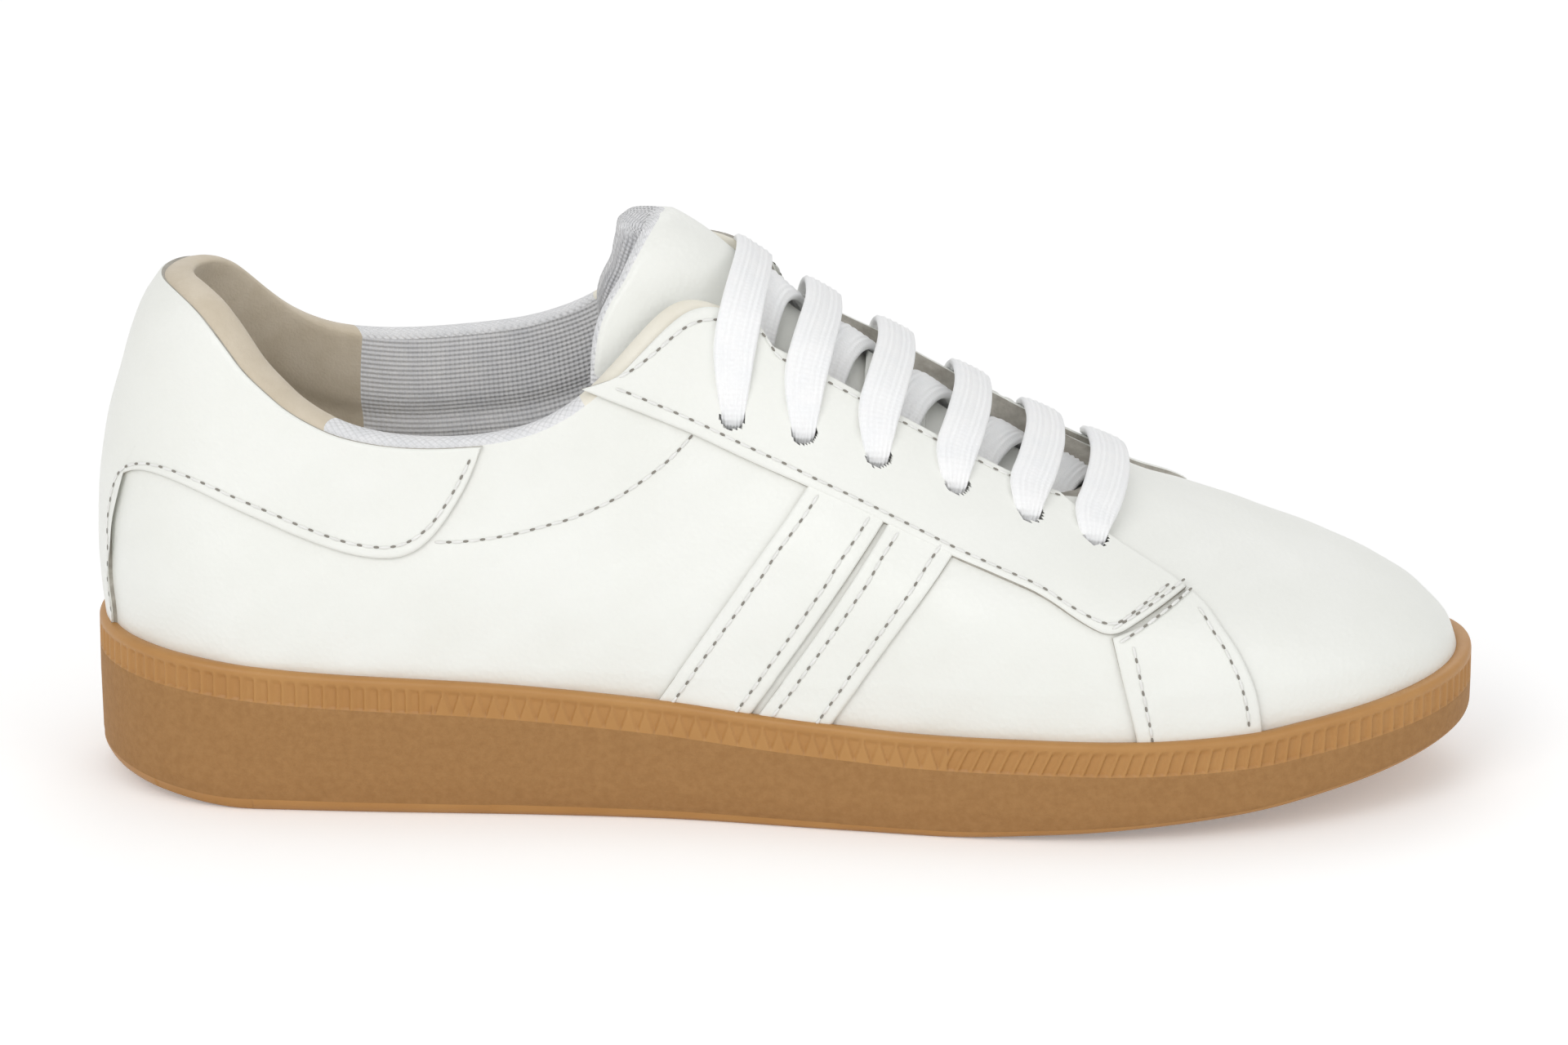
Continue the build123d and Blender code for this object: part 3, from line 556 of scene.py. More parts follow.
@dataclass(frozen=True)
class Finish:
    """A procedural surface: two colours mottled together over a fine bump."""

    name: str
    colour: str
    second: str
    roughness: float
    mottle_mm: float
    grain_mm: float
    bump_mm: float
    ior: float = 1.5
    sheen: float = 0.0
    cells: bool = False
    subsurface: float = 0.0

    def base(self) -> tuple[bpy.types.Material, bpy.types.Node, bpy.types.Node]:
        """Start the material and return it with its shader and its coordinates.

        Returns:
            The material, its shader node and its coordinate node.
        """
        material = bpy.data.materials.new(self.name)
        material.use_nodes = True
        tree = material.node_tree
        shader = tree.nodes["Principled BSDF"]
        shader.inputs["IOR"].default_value = self.ior
        shader.inputs["Sheen Weight"].default_value = self.sheen
        shader.inputs["Sheen Roughness"].default_value = 0.5
        shader.inputs["Subsurface Weight"].default_value = self.subsurface
        place = add_node(tree, "ShaderNodeTexCoord")
        return material, shader, place

    def colour_mix(self, tree: bpy.types.NodeTree, place: bpy.types.Node) -> bpy.types.NodeSocket:
        """Mottle the two colours and return the colour socket.

        Args:
            tree: the material's node tree.
            place: the coordinate node.
        Returns:
            The socket that carries the colour.
        """
        noise = add_node(tree, "ShaderNodeTexNoise",
                         {"Scale": 1000 / self.mottle_mm, "Detail": 4.0, "Roughness": 0.6},
                         {"Vector": place.outputs["Object"]})
        ramp = add_node(tree, "ShaderNodeValToRGB", {}, {"Fac": noise.outputs["Fac"]})
        ramp.color_ramp.elements[0].position = 0.35
        ramp.color_ramp.elements[1].position = 0.65
        ramp.color_ramp.elements[0].color = linear(self.colour)
        ramp.color_ramp.elements[1].color = linear(self.second)
        return ramp.outputs["Color"]

    def make(self) -> bpy.types.Material:
        """Build the material.

        Returns:
            The finished material.
        """
        material, shader, place = self.base()
        tree = material.node_tree
        tree.links.new(self.colour_mix(tree, place), shader.inputs["Base Color"])
        if self.cells:
            grain = add_node(tree, "ShaderNodeTexVoronoi", {"Scale": 1000 / self.grain_mm},
                             {"Vector": place.outputs["Object"]})
            height = grain.outputs["Distance"]
        else:
            grain = add_node(tree, "ShaderNodeTexNoise",
                             {"Scale": 1000 / self.grain_mm, "Detail": 3.0},
                             {"Vector": place.outputs["Object"]})
            height = grain.outputs["Fac"]
        bump = add_node(tree, "ShaderNodeBump", {"Distance": self.bump_mm * MM, "Strength": 1.0},
                        {"Height": height})
        tree.links.new(bump.outputs["Normal"], shader.inputs["Normal"])
        rough = add_node(tree, "ShaderNodeMapRange",
                         {"To Min": self.roughness - 0.06, "To Max": self.roughness + 0.06},
                         {"Value": height})
        tree.links.new(rough.outputs["Result"], shader.inputs["Roughness"])
        return material


@dataclass(frozen=True)
class Woven(Finish):
    """A woven or knitted cloth of crossed waves, along its own surface or through space."""

    thread_mm: float = 0.8
    depth_mm: float = 0.25
    diagonal: bool = False
    by_surface: bool = False

    def make(self) -> bpy.types.Material:
        """Build the cloth from two wave sets, one along and one across.

        Returns:
            The finished material.
        """
        material, shader, place = self.base()
        tree = material.node_tree
        tree.links.new(self.colour_mix(tree, place), shader.inputs["Base Color"])
        shader.inputs["Roughness"].default_value = self.roughness
        source = place.outputs["UV" if self.by_surface else "Object"]
        scale = 1.0 if self.by_surface else 1000.0
        turn = math.radians(45 if self.diagonal else 0)
        placed = add_node(tree, "ShaderNodeMapping",
                          {"Scale": (scale, scale, scale), "Rotation": (0, 0, turn)},
                          {"Vector": source})
        parts = add_node(tree, "ShaderNodeSeparateXYZ", {}, {"Vector": placed.outputs["Vector"]})
        waves = []
        along = ("X", "Y") if self.by_surface else ("X", "Z")
        for axis in along:
            turned = add_node(tree, "ShaderNodeMath",
                              {"operation": "MULTIPLY", 1: math.pi / self.thread_mm},
                              {0: parts.outputs[axis]})
            wave = add_node(tree, "ShaderNodeMath", {"operation": "SINE"},
                            {0: turned.outputs["Value"]})
            waves.append(wave)
        cross = add_node(tree, "ShaderNodeMath", {"operation": "MULTIPLY"},
                         {0: waves[0].outputs["Value"], 1: waves[1].outputs["Value"]})
        bump = add_node(tree, "ShaderNodeBump",
                        {"Distance": self.depth_mm * MM, "Strength": 1.0},
                        {"Height": cross.outputs["Value"]})
        tree.links.new(bump.outputs["Normal"], shader.inputs["Normal"])
        return material


# Full-grain leather, rolled and pigment coated: smooth with a faint pore grain and a soft gloss.
WHITE_LEATHER = Finish("white_full_grain_leather", "#F3F4EF", "#EFF0EA", 0.42, 40, 1.1, 0.06,
                       cells=True)
# Knife-cut leather edge: grey open fibres, dull.
RAW_EDGE = Finish("raw_cut_leather_edge", "#B9B5AC", "#9E998F", 0.85, 3, 0.6, 0.1)
# Leather turned over at the edge: uncoated flesh side showing cream.
FOLDED_EDGE = Finish("turned_leather_edge", "#F1EDE0", "#ECE7D8", 0.6, 6, 0.9, 0.08)
# Split suede, brushed: short nap that scatters light softly.
SUEDE = Finish("brushed_suede_lining", "#D9CDB9", "#CFC2AC", 0.95, 8, 0.5, 0.12, sheen=0.25)
# Moulded gum rubber: caramel, satin where the mould was left smooth, on ribs, lip and tread.
GUM_RUBBER = Finish("moulded_gum_rubber", "#B8874B", "#B17F43", 0.48, 14, 0.9, 0.03, ior=1.52)
# The same rubber against a grit-blasted mould wall: darker, rough, finely speckled.
GUM_WALL = Finish("grit_blasted_gum_rubber", "#A57A48", "#9C7140", 0.78, 1.6, 0.5, 0.12, ior=1.52)
# Bonded polyester sewing thread: a shade greyer than the leather, slightly glossy.
THREAD = Finish("bonded_polyester_thread", "#F1F1EE", "#E6E6E2", 0.5, 4, 0.3, 0.05)
# Pierced leather at a needle hole: the shadowed grey dot between two stitches.
NEEDLE_HOLE = Finish("needle_hole_shadow", "#8A867E", "#938F87", 0.95, 2, 0.4, 0.02)
# Die-cut foam, pressed board and moulded stiffener: dull creams and tans, hidden inside.
INNER_FOAM = Finish("die_cut_foam", "#E6E3D8", "#DCD8CB", 0.9, 6, 0.7, 0.15, cells=True)
INNER_BOARD = Finish("pressed_fibre_board", "#CDBD9E", "#BEAD8C", 0.9, 5, 0.5, 0.08)
STIFFENER = Finish("moulded_thermoplastic_stiffener", "#D3CFC6", "#C9C5BB", 0.6, 10, 0.8, 0.04)
# Extruded film wrapped round the lace end: cool white, glossy.
AGLET = Finish("wrapped_acetate_film", "#EEF0F2", "#E6E9EC", 0.2, 10, 2.0, 0.01, ior=1.47)
# Spacer mesh lining, warp knitted: pale, dull, with a diagonal grid of shallow dimples.
MESH = Woven("warp_knit_spacer_mesh", "#F1F1F2", "#E4E5E8", 0.9, 6, 1.0, 0.1, sheen=0.2,
             thread_mm=0.7, depth_mm=0.14, diagonal=True, by_surface=True)
# Knitted edge tape: soft white with a fine checked knit, duller than the leather.
TAPE = Woven("knitted_edge_tape", "#F6F6F7", "#ECEDEF", 0.9, 5, 1.0, 0.1, sheen=0.2,
             thread_mm=0.8, depth_mm=0.2, by_surface=True)
# Flat cotton lace, plain weave: bright matt white with fine crossing threads.
COTTON = Woven("flat_woven_cotton", "#FDFDFD", "#F9FAFB", 0.92, 5, 1.0, 0.1, sheen=0.25,
               thread_mm=0.7, depth_mm=0.06, diagonal=True, by_surface=True)
# Insole top cloth, fine knit: pale warm grey and dull.
INSOLE = Woven("knitted_insole_cloth", "#DEDCD6", "#D3D1CA", 0.95, 7, 1.0, 0.1, sheen=0.2,
               thread_mm=1.0, depth_mm=0.2)


class Finishes:
    """All materials, each made once."""

    def __init__(self) -> None:
        """Prepare an empty store."""
        self.made: dict[str, bpy.types.Material] = {}

    def __call__(self, finish: Finish) -> bpy.types.Material:
        """Return the material of a finish, making it the first time.

        Args:
            finish: the finish wanted.
        Returns:
            Its material.
        """
        if finish.name not in self.made:
            self.made[finish.name] = finish.make()
        return self.made[finish.name]


STORE = Finishes()


# --------------------------------------------------------------------------- pattern lines

LATERAL_TOPLINE = [
    (13.8, 100.5), (17.6, 100.4), (22.5, 98.4), (26.6, 95.0), (29.4, 91.8), (32.3, 88.1),
    (36.6, 84.2), (41.0, 80.4), (47.9, 76.6), (53.3, 74.9), (60.3, 73.7), (69.3, 73.3),
    (79.0, 73.9), (88.2, 75.8), (94.6, 78.8), (100.6, 83.0), (105.0, 87.0), (110.4, 92.4),
    (115.0, 96.6), (118.6, 98.7), (122.7, 98.9), (127.7, 97.2), (131.2, 95.4)]
MEDIAL_TOPLINE = [
    (13.8, 100.5), (18.0, 100.0), (22.0, 97.4), (25.5, 94.0), (30.0, 89.4), (35.5, 85.2),
    (42.0, 82.4), (50.0, 81.3), (60.0, 81.3), (79.0, 83.2), (88.0, 85.2), (97.0, 89.0),
    (104.0, 94.0), (109.5, 99.4), (114.0, 103.6), (118.5, 105.6), (124.0, 104.9),
    (129.0, 102.4), (132.0, 100.4)]
THROAT_LATERAL = [(134, -14.9), (140, -15), (150, -15.3), (162, -15.6), (175, -15.8),
                  (184, -16), (190, -15.2), (196, -12), (200.4, -6.5)]
THROAT_FRONT = (203.0, 2.0)
THROAT_MEDIAL = [(200.4, 10.5), (196, 16), (190, 18.2), (184, 19), (175, 19), (162, 19),
                 (150, 19), (140, 19), (134, 19)]
FOXING_TOP = Knots([
    (-6, 32.2), (18, 31.2), (43, 29.0), (80, 27.4), (113, 24.9), (132, 23.1), (147, 22.1),
    (164, 21.2), (182, 21.0), (208, 20.8), (229, 21.2), (240, 22.4), (251, 23.6),
    (264, 25.2), (280, 27.5)])
COLLAR_ROW = [(68.7, 55.2), (74.1, 55.2), (80.2, 55.9), (86.3, 57.1), (92.3, 58.8), (96.4, 59.9),
              (103.7, 63.2), (108.5, 66.3), (113.3, 70.0), (115.7, 72.0), (119.5, 76.1)]
TOE_ROWS = [[(200.4, 42.2), (214.6, 48.2)], [(202.2, 40.0), (215.8, 46.8)]]
EYESTAY_LOW = [
    (98.0, 85.0), (102.3, 83.2), (108.4, 80.8), (119.9, 76.3), (129.6, 71.9), (142.5, 66.9),
    (155.9, 61.3), (169.9, 55.2), (181.4, 51.0), (188.4, 48.2), (195.9, 43.5), (201.3, 41.1),
    (207.0, 43.8), (215.2, 47.5)]
FOREFOOT_EDGES = [
    [(201.3, 41.1), (203.5, 32.6), (206.0, 22.6), (206.6, 18.5)],
    [(215.6, 47.4), (218.8, 45.2), (221.8, 41.5), (224.8, 37.8), (227.6, 32.9), (229.5, 27.8),
     (230.5, 20.0)]]
STRIPE_EDGES = [
    [(143.6, 69.3), (129.4, 48.8), (120.9, 36.3), (111.0, 21.0)],
    [(158.8, 63.1), (147.0, 45.2), (132.2, 22.9), (130.0, 19.5)],
    [(172.1, 57.8), (160.5, 42.3), (147.2, 21.9), (145.4, 18.5)]]
STRIPE_GAP = 0.006
BACKSTAY_LOW = [
    (5.3, 26.0), (5.0, 33.8), (4.5, 40.7), (4.1, 48.1), (4.3, 54.1), (5.3, 59.5), (7.3, 63.8),
    (12.6, 66.3), (21.6, 64.8), (35.0, 59.3), (43.7, 55.6), (52.8, 52.6), (60.8, 51.7),
    (65.6, 53.0), (69.8, 56.6), (74.1, 63.0), (77.1, 69.0), (78.6, 73.8)]
EYELET_XS = [127.3, 141.0, 155.3, 170.4, 184.7, 197.4]
EYELET_YS = {Side.LATERAL: -23.0, Side.MEDIAL: 27.0}


# --------------------------------------------------------------------------- shared shapes


def ribbon(low: Curve, high: Curve, rows: int) -> Curve:
    """Fill between two (angle, height) curves with the same number of points."""
    share = np.linspace(0, 1, rows)[None, :, None]
    return low[:, None, :] * (1 - share) + high[:, None, :] * share


def merge(parts: list[tuple[Grid, Grid]]) -> tuple[Grid, list]:
    """Join several (points, faces) sets into one.

    Args:
        parts: points and faces of each set.
    Returns:
        All the points, and the faces renumbered to them.
    """
    points, faces, start = [], [], 0
    for part_points, part_faces in parts:
        points.append(part_points)
        faces.extend((np.asarray(part_faces) + start).tolist())
        start += len(part_points)
    return np.concatenate(points), faces


# --------------------------------------------------------------------------- sole


@dataclass
class Cupsole:
    """Gum rubber cup: ribbed and toothed side wall, smooth lip, chevron tread."""

    columns: int = 2200
    wall_rows: int = 20
    band_rows: int = 26
    wall: float = 2.8
    outline_z: float = 24.0
    band_height: float = 6.6
    lip_height: float = 1.5
    edge_round: float = 2.2
    relief: float = 0.55
    row_crowding: float = 1.15
    undercut: float = 0.55
    top_round: float = 1.2
    top_inset: float = 0.9
    seam_height: float = 2.0
    seam_size: float = 0.35
    seam_end: float = 149.0
    rib_pitch: float = 2.7
    rib_lean: float = 0.45
    heel_ribs_end: float = 69.0
    leaning_ribs_start: float = 170.0
    tooth_pitch: float = 3.3
    groove_every: float = 12.0
    groove_width: float = 3.0
    groove_depth: float = 1.4
    groove_span: tuple[float, float] = (36.0, 168.0)
    groove_reach: float = 40.0
    chevron: float = 9.0
    sole_half: float = 90.0
    toe_run: float = 0.0
    low_heel: Knots = field(default_factory=lambda: Knots([
        (-6, 8.0), (0, 5.0), (3.7, 3.4), (14, 1.4), (30, 0.0), (168, 0.0), (190, 1.2),
        (213, 3.2), (229, 4.8), (245, 7.4), (256, 9.4), (280, 15.0)]))

    def depth_at(self, z: Grid) -> Grid:
        """Return how far outside the leather the side wall stands at a height."""
        return np.interp(z, [0, 6, 20, 36], [-1.2, -2.5, -2.8, -2.8])

    def pattern(self, run: Grid, x: Grid, share: Grid, height: Grid) -> Grid:
        """Return the raised share, 0 to 1, of the moulded ribs and teeth.

        Args:
            run: length round the outline.
            x: base length position.
            share: 0 at the parting line, 1 under the lip.
            height: wall height between those lines.
        Returns:
            The raised share at each point.
        """
        def ridge(turns: Grid) -> Grid:
            """Return a thin ridge once in every turn."""
            return np.clip((0.5 + 0.5 * np.cos(2 * math.pi * turns)) * 2.6 - 1.5, 0, 1)

        saw = np.abs((run / self.tooth_pitch) % 1.0 - 0.5) * 2
        tooth = np.clip((1.0 - share - saw) * 6 + 0.5, 0, 1)
        slant = np.clip((250 - x) / 60, 0, 1) * self.rib_lean
        side = np.where(run < self.toe_run, 1.0, -1.0)
        shape = np.where(x < self.heel_ribs_end, ridge(run / self.rib_pitch), tooth)
        leaning = ridge((run - side * slant * share * height) / self.rib_pitch)
        return np.where(x > self.leaning_ribs_start, leaning, shape)

    def wall_grid(self) -> Grid:
        """Return the side wall's points, column after column round the outline.

        Returns:
            Points by column and row, rows running upwards.
        """
        phi = np.linspace(0, 2 * math.pi, 6001)
        level = LAST.point(phi, self.outline_z, -self.wall)
        run = run_along(level)
        want = np.linspace(0, run[-1], self.columns, endpoint=False)
        phi = np.interp(want, run, phi)
        x_rest = LAST.point(phi, self.outline_z, -self.wall)[:, 0] + MID_X
        self.toe_run = run[-1] / 2
        low, high = self.low_heel(x_rest), FOXING_TOP(x_rest)
        band = high - self.band_height
        share = np.linspace(0, 1, self.wall_rows, endpoint=False) ** self.row_crowding
        wall = low[:, None] + (band - low)[:, None] * share[None, :]
        share = np.linspace(0, 1, self.band_rows)
        z = np.concatenate([wall, band[:, None] + (high - band)[:, None] * share[None, :]], axis=1)
        depth = self.depth_at(z)
        tall = self.band_height - self.lip_height
        middle = (z - band[:, None]) / tall
        raised = self.pattern(want[:, None], x_rest[:, None], np.clip(middle, 0, 1),
                              np.full_like(z, tall))
        inside = (middle > 0.0) & (middle < 0.99)
        fade = np.clip((1 - middle) * 5, 0, 1)
        depth = depth + np.where(inside, self.relief * fade * (1 - raised), 0.0)
        from_low = z - low[:, None]
        tucked = np.clip(1 - from_low / self.edge_round, 0, 1)
        depth = depth + self.edge_round * self.undercut * (
            1 - np.sqrt(np.clip(1 - tucked**2, 0, 1)))
        from_top = high[:, None] - z
        rolled = np.clip(1 - from_top / self.top_round, 0, 1)
        depth = depth + self.top_inset * (1 - np.sqrt(np.clip(1 - rolled**2, 0, 1)))
        seam = np.abs(from_low - self.seam_height) < self.seam_size
        seam = seam & (x_rest[:, None] < self.seam_end)
        depth = depth + np.where(seam, self.seam_size, 0.0)
        flat = LAST.point(phi[:, None], np.full_like(z, self.outline_z), depth)
        flat[..., 2] = z
        return flat

    def tread(self, rim: Grid, across: int = 36) -> tuple[Grid, Grid]:
        """Return points and quads of the bottom between the two sides of the rim.

        Args:
            rim: lowest ring of the side wall.
            across: points from one side to the other.
        Returns:
            The bottom's points and quads.
        """
        half = len(rim) // 2
        near, far = rim[: half + 1], np.roll(rim, -half, 0)[: half + 1][::-1]
        share = np.linspace(0, 1, across)[None, :, None]
        grid = near[:, None, :] * (1 - share) + far[:, None, :] * share
        x, y = grid[..., 0] + MID_X, grid[..., 1]
        bend = x - self.chevron * (1 - np.abs(y) / self.sole_half)
        start, end = self.groove_span
        inside = (bend > start) & (bend < end) & (np.abs(y) < self.groove_reach)
        in_groove = ((bend - start) % self.groove_every) < self.groove_width
        edge = np.minimum(share[..., 0], 1 - share[..., 0]) * 20 > 1
        grid[..., 2] += np.where(inside & in_groove & edge, self.groove_depth, 0.0)
        return grid.reshape(-1, 3), quad_faces(half + 1, across)

    def build(self) -> bpy.types.Object:
        """Make the sole and stand it in for its CAD node.

        Returns:
            The sole.
        """
        wall = self.wall_grid()
        top = wall[:, -1]
        normal = grid_normals(wall)[:, -4, :2]
        normal = normal / np.maximum(np.linalg.norm(normal, axis=1, keepdims=True), 1e-9)
        inward = []
        for step, drop in ((0.9, 0.05), (2.0, 0.35), (2.4, 0.8), (2.4, 5.0)):
            ring = top.copy()
            ring[:, :2] -= normal * step
            ring[:, 2] -= drop
            inward.append(ring[:, None, :])
        grid = np.concatenate([wall] + inward, axis=1)
        rows = grid.shape[1]
        faces = quad_faces(self.columns, rows, wrap=True)
        row = np.tile(np.arange(rows - 1), self.columns)
        blasted = ((row > 2) & (row < self.wall_rows)).astype(int)
        tread_points, tread_faces = self.tread(wall[:, 0])
        points, quads = merge([(grid.reshape(-1, 3), faces), (tread_points, tread_faces)])
        finish = np.concatenate([blasted, np.zeros(len(tread_faces), int)])
        piece = new_object("gum_cupsole", points, quads, [STORE(GUM_RUBBER), STORE(GUM_WALL)],
                           finish)
        finish_piece(piece, Body.UPPER, "gum_rubber", "cupsole")
        return piece


# --------------------------------------------------------------------------- leather upper


@dataclass
class Upper:
    """Vamp and quarters as one lasted skin cut where the panels meet."""

    columns: int = 760
    rows: int = 84
    below_lip: float = 4.0
    base_z: float = 24.0
    hole_radius: float = 2.6

    def top_loop(self) -> Curve:
        """Return the upper edge as a closed (angle, height) curve.

        Returns:
            The loop, from the heel round the lateral side and back.
        """
        lateral = LAST.edge(LATERAL_TOPLINE, Side.LATERAL)
        medial = LAST.edge(MEDIAL_TOPLINE, Side.MEDIAL)
        lateral[0, 0], medial[0, 0] = 0.0, 2 * math.pi
        throat_a = LAST.plan_edge(THROAT_LATERAL, Side.LATERAL)
        front = np.array([[math.pi, LAST.height(*THROAT_FRONT, Side.LATERAL)]])
        throat_b = LAST.plan_edge(THROAT_MEDIAL, Side.MEDIAL)
        return np.concatenate([lateral, throat_a, front, throat_b, medial[::-1]])

    def stations(self) -> tuple[Curve, Curve]:
        """Return matching bottom and top loops, one point for each column.

        Returns:
            The bottom loop and the top loop.
        """
        top = resample(smooth_line(self.top_loop(), 1), self.columns)
        keys_phi = [0.0]
        keys_low = [0.0]
        for top_x, top_z, low_x in ((60.3, 73.7, 62), (100.6, 83.0, 98), (122.7, 98.9, 118)):
            keys_phi.append(float(LAST.angle(top_x, top_z, Side.LATERAL)))
            keys_low.append(float(LAST.angle(low_x, self.base_z, Side.LATERAL)))
        for top_x, low_x in ((160.0, 158.0), (190.0, 205.0)):
            edge = LAST.plan_edge([(top_x, -15.5)], Side.LATERAL)
            keys_phi.append(float(edge[0, 0]))
            keys_low.append(float(LAST.angle(low_x, self.base_z, Side.LATERAL)))
        keys_phi.append(math.pi)
        keys_low.append(math.pi)
        order = np.argsort(keys_phi)
        known, wanted = np.array(keys_phi)[order], np.maximum.accumulate(np.array(keys_low)[order])
        known = np.maximum.accumulate(known + np.arange(len(known)) * 1e-9)
        mirrored = np.concatenate([known, 2 * math.pi - known[-2::-1]])
        targets = np.concatenate([wanted, 2 * math.pi - wanted[-2::-1]])
        low_phi = np.interp(np.maximum.accumulate(top[:, 0]), mirrored, targets)
        x = LAST.point(low_phi, self.base_z)[:, 0] + MID_X
        low = np.stack([low_phi, FOXING_TOP(x) - self.below_lip], -1)
        return low, top

    def grid(self) -> Grid:
        """Return the skin's (angle, height) grid."""
        low, top = self.stations()
        return ribbon(low, top, self.rows)


def eyelet_points() -> list[tuple[Grid, Grid]]:
    """Return the centre on the leather and the outward direction of each eyelet.

    Returns:
        A centre and a unit direction for each of the twelve eyelets.
    """
    found = []
    for side, y in EYELET_YS.items():
        for x in EYELET_XS:
            z = LAST.height(x, y, side)
            centre = np.array([x - MID_X, y - MID_Y, float(z)])
            ahead = np.array([1.0, 0.0, float(LAST.height(x + 1, y, side) - z)])
            across = np.array([0.0, 1.0, float(LAST.height(x, y + 1, side) - z)])
            normal = np.cross(ahead, across)
            found.append((centre, normal / np.linalg.norm(normal)))
    return found


def clear_of_eyelets(centre: Grid, radius: float) -> Grid:
    """Return which face centres stand outside a hole of this radius at every eyelet.

    Args:
        centre: middles of the faces.
        radius: radius of the hole.
    Returns:
        True for every face to keep.
    """
    keep = np.ones(len(centre), bool)
    for middle, normal in eyelet_points():
        offset = centre - middle
        off_axis = offset - (offset @ normal)[:, None] * normal
        near = np.linalg.norm(offset, axis=1) < HOLE_REACH
        keep &= ~(near & (np.linalg.norm(off_axis, axis=1) < radius))
    return keep


# --------------------------------------------------------------------------- panels and overlays


def vamp_line(z: Grid) -> Grid:
    """Return the side-view x where the vamp starts at a height."""
    return np.interp(z, [2, 30, 42, 51.5, 56.5, 60, 78], [219, 216, 212, 206, 200, 196, 188])


def build_skin(upper: Upper) -> None:
    """Make the vamp and quarters.

    Args:
        upper: sizes of the skin.
    """
    flat = upper.grid()
    points = LAST.raised(flat[..., 0], flat[..., 1], 0.0).reshape(-1, 3)
    faces = quad_faces(upper.columns, upper.rows)
    centre = points[faces].mean(1)
    keep = clear_of_eyelets(centre, upper.hole_radius)
    front = centre[:, 0] + MID_X > vamp_line(centre[:, 2])
    lateral = flat[..., 0].reshape(-1)[faces].mean(1) < math.pi
    for name, node, chosen in (("vamp_leather", "vamp", front),
                               ("quarter_leather_lateral", "quarter_lateral", ~front & lateral),
                               ("quarter_leather_medial", "quarter_medial", ~front & ~lateral)):
        panel_points, panel_faces, _ = kept_part(points, faces, keep & chosen)
        piece = new_object(name, panel_points, panel_faces, [STORE(WHITE_LEATHER)])
        finish_piece(piece, Body.UPPER, "white_leather", node)


@dataclass
class Overlay:
    """A leather piece stitched on top of the skin between two outline curves."""

    name: str
    low: Curve
    high: Curve
    columns: int = 160
    rows: int = 26
    thickness: float = 1.1
    round_in: float = 0.45
    skirt: float = 0.25
    bevel: float = 0.72
    samples: int = 400
    holes: bool = False
    hole_radius: float = 2.55

    def spread(self, length: Grid, count: int) -> tuple[Grid, Grid]:
        """Return shares and height factors that give a rounded cut edge at both ends.

        Args:
            length: lengths to share out, in millimetres.
            count: number of shares between the rounded ends.
        Returns:
            The shares along each length, and the height factor of each share.
        """
        inset = np.clip(self.round_in / np.maximum(length, 1e-6), 0.0, 0.3)
        inner = inset[..., None] + (1 - 2 * inset[..., None]) * np.linspace(0, 1, count)
        zero, one = np.zeros_like(inset)[..., None], np.ones_like(inset)[..., None]
        shares = np.concatenate([zero, zero, inner, one, one], -1)
        factor = np.concatenate([[-1.0, self.bevel], np.ones(count), [self.bevel, -1.0]])
        return shares, factor

    def flat_grid(self) -> tuple[Grid, Grid]:
        """Return the (angle, height) grid and the height factor of every point.

        Returns:
            The grid and its height factors, negative at the cut edge.
        """
        low, high = resample(self.low, self.samples), resample(self.high, self.samples)
        low_edge = LAST.point(low[:, 0], low[:, 1])
        across = np.linalg.norm(low_edge - LAST.point(high[:, 0], high[:, 1]), axis=1)
        length = np.linalg.norm(np.diff(low_edge, axis=0), axis=1).sum()
        along, along_factor = self.spread(np.array(length), self.columns)
        source = np.linspace(0, 1, self.samples)
        low_at, high_at = at_runs(along, source, low), at_runs(along, source, high)
        shares, factor = self.spread(np.interp(along, source, across), self.rows)
        flat = low_at[:, None] * (1 - shares[..., None]) + high_at[:, None] * shares[..., None]
        return flat, np.minimum(along_factor[:, None], factor[None, :])

    def build(self) -> bpy.types.Object:
        """Make the overlay with its raw cut edge.

        Returns:
            The overlay.
        """
        flat, factor = self.flat_grid()
        height = np.where(factor < 0, -self.skirt, self.thickness * factor)
        points = LAST.raised(flat[..., 0], flat[..., 1], height).reshape(-1, 3)
        faces = quad_faces(flat.shape[0], flat.shape[1])
        edge = (factor.reshape(-1)[faces] < 0).any(1).astype(int)
        if self.holes:
            keep = clear_of_eyelets(points[faces].mean(1), self.hole_radius)
            faces, edge = faces[keep], edge[keep]
        piece = new_object("visual_" + self.name, points, faces,
                           [STORE(WHITE_LEATHER), STORE(RAW_EDGE)], edge)
        finish_piece(piece, Body.UPPER, "white_leather", self.name)
        return piece

    def row(self, inset: float, from_high: bool = False, trim: float = 2.0) -> Curve:
        """Return a stitch line on the overlay at a distance from one of its long edges.

        Args:
            inset: distance from the edge.
            from_high: measure from the high edge.
            trim: length left unsewn at both ends.
        Returns:
            The line in angle and height.
        """
        low, high = resample(self.low, 300), resample(self.high, 300)
        gap = np.linalg.norm(LAST.point(low[:, 0], low[:, 1])
                             - LAST.point(high[:, 0], high[:, 1]), axis=1)
        share = np.clip(inset / np.maximum(gap, 1e-6), 0, 0.5)[:, None]
        share = 1 - share if from_high else share
        line = low * (1 - share) + high * share
        run = run_along(LAST.point(line[:, 0], line[:, 1]))
        return line[(run > trim) & (run < run[-1] - trim)]


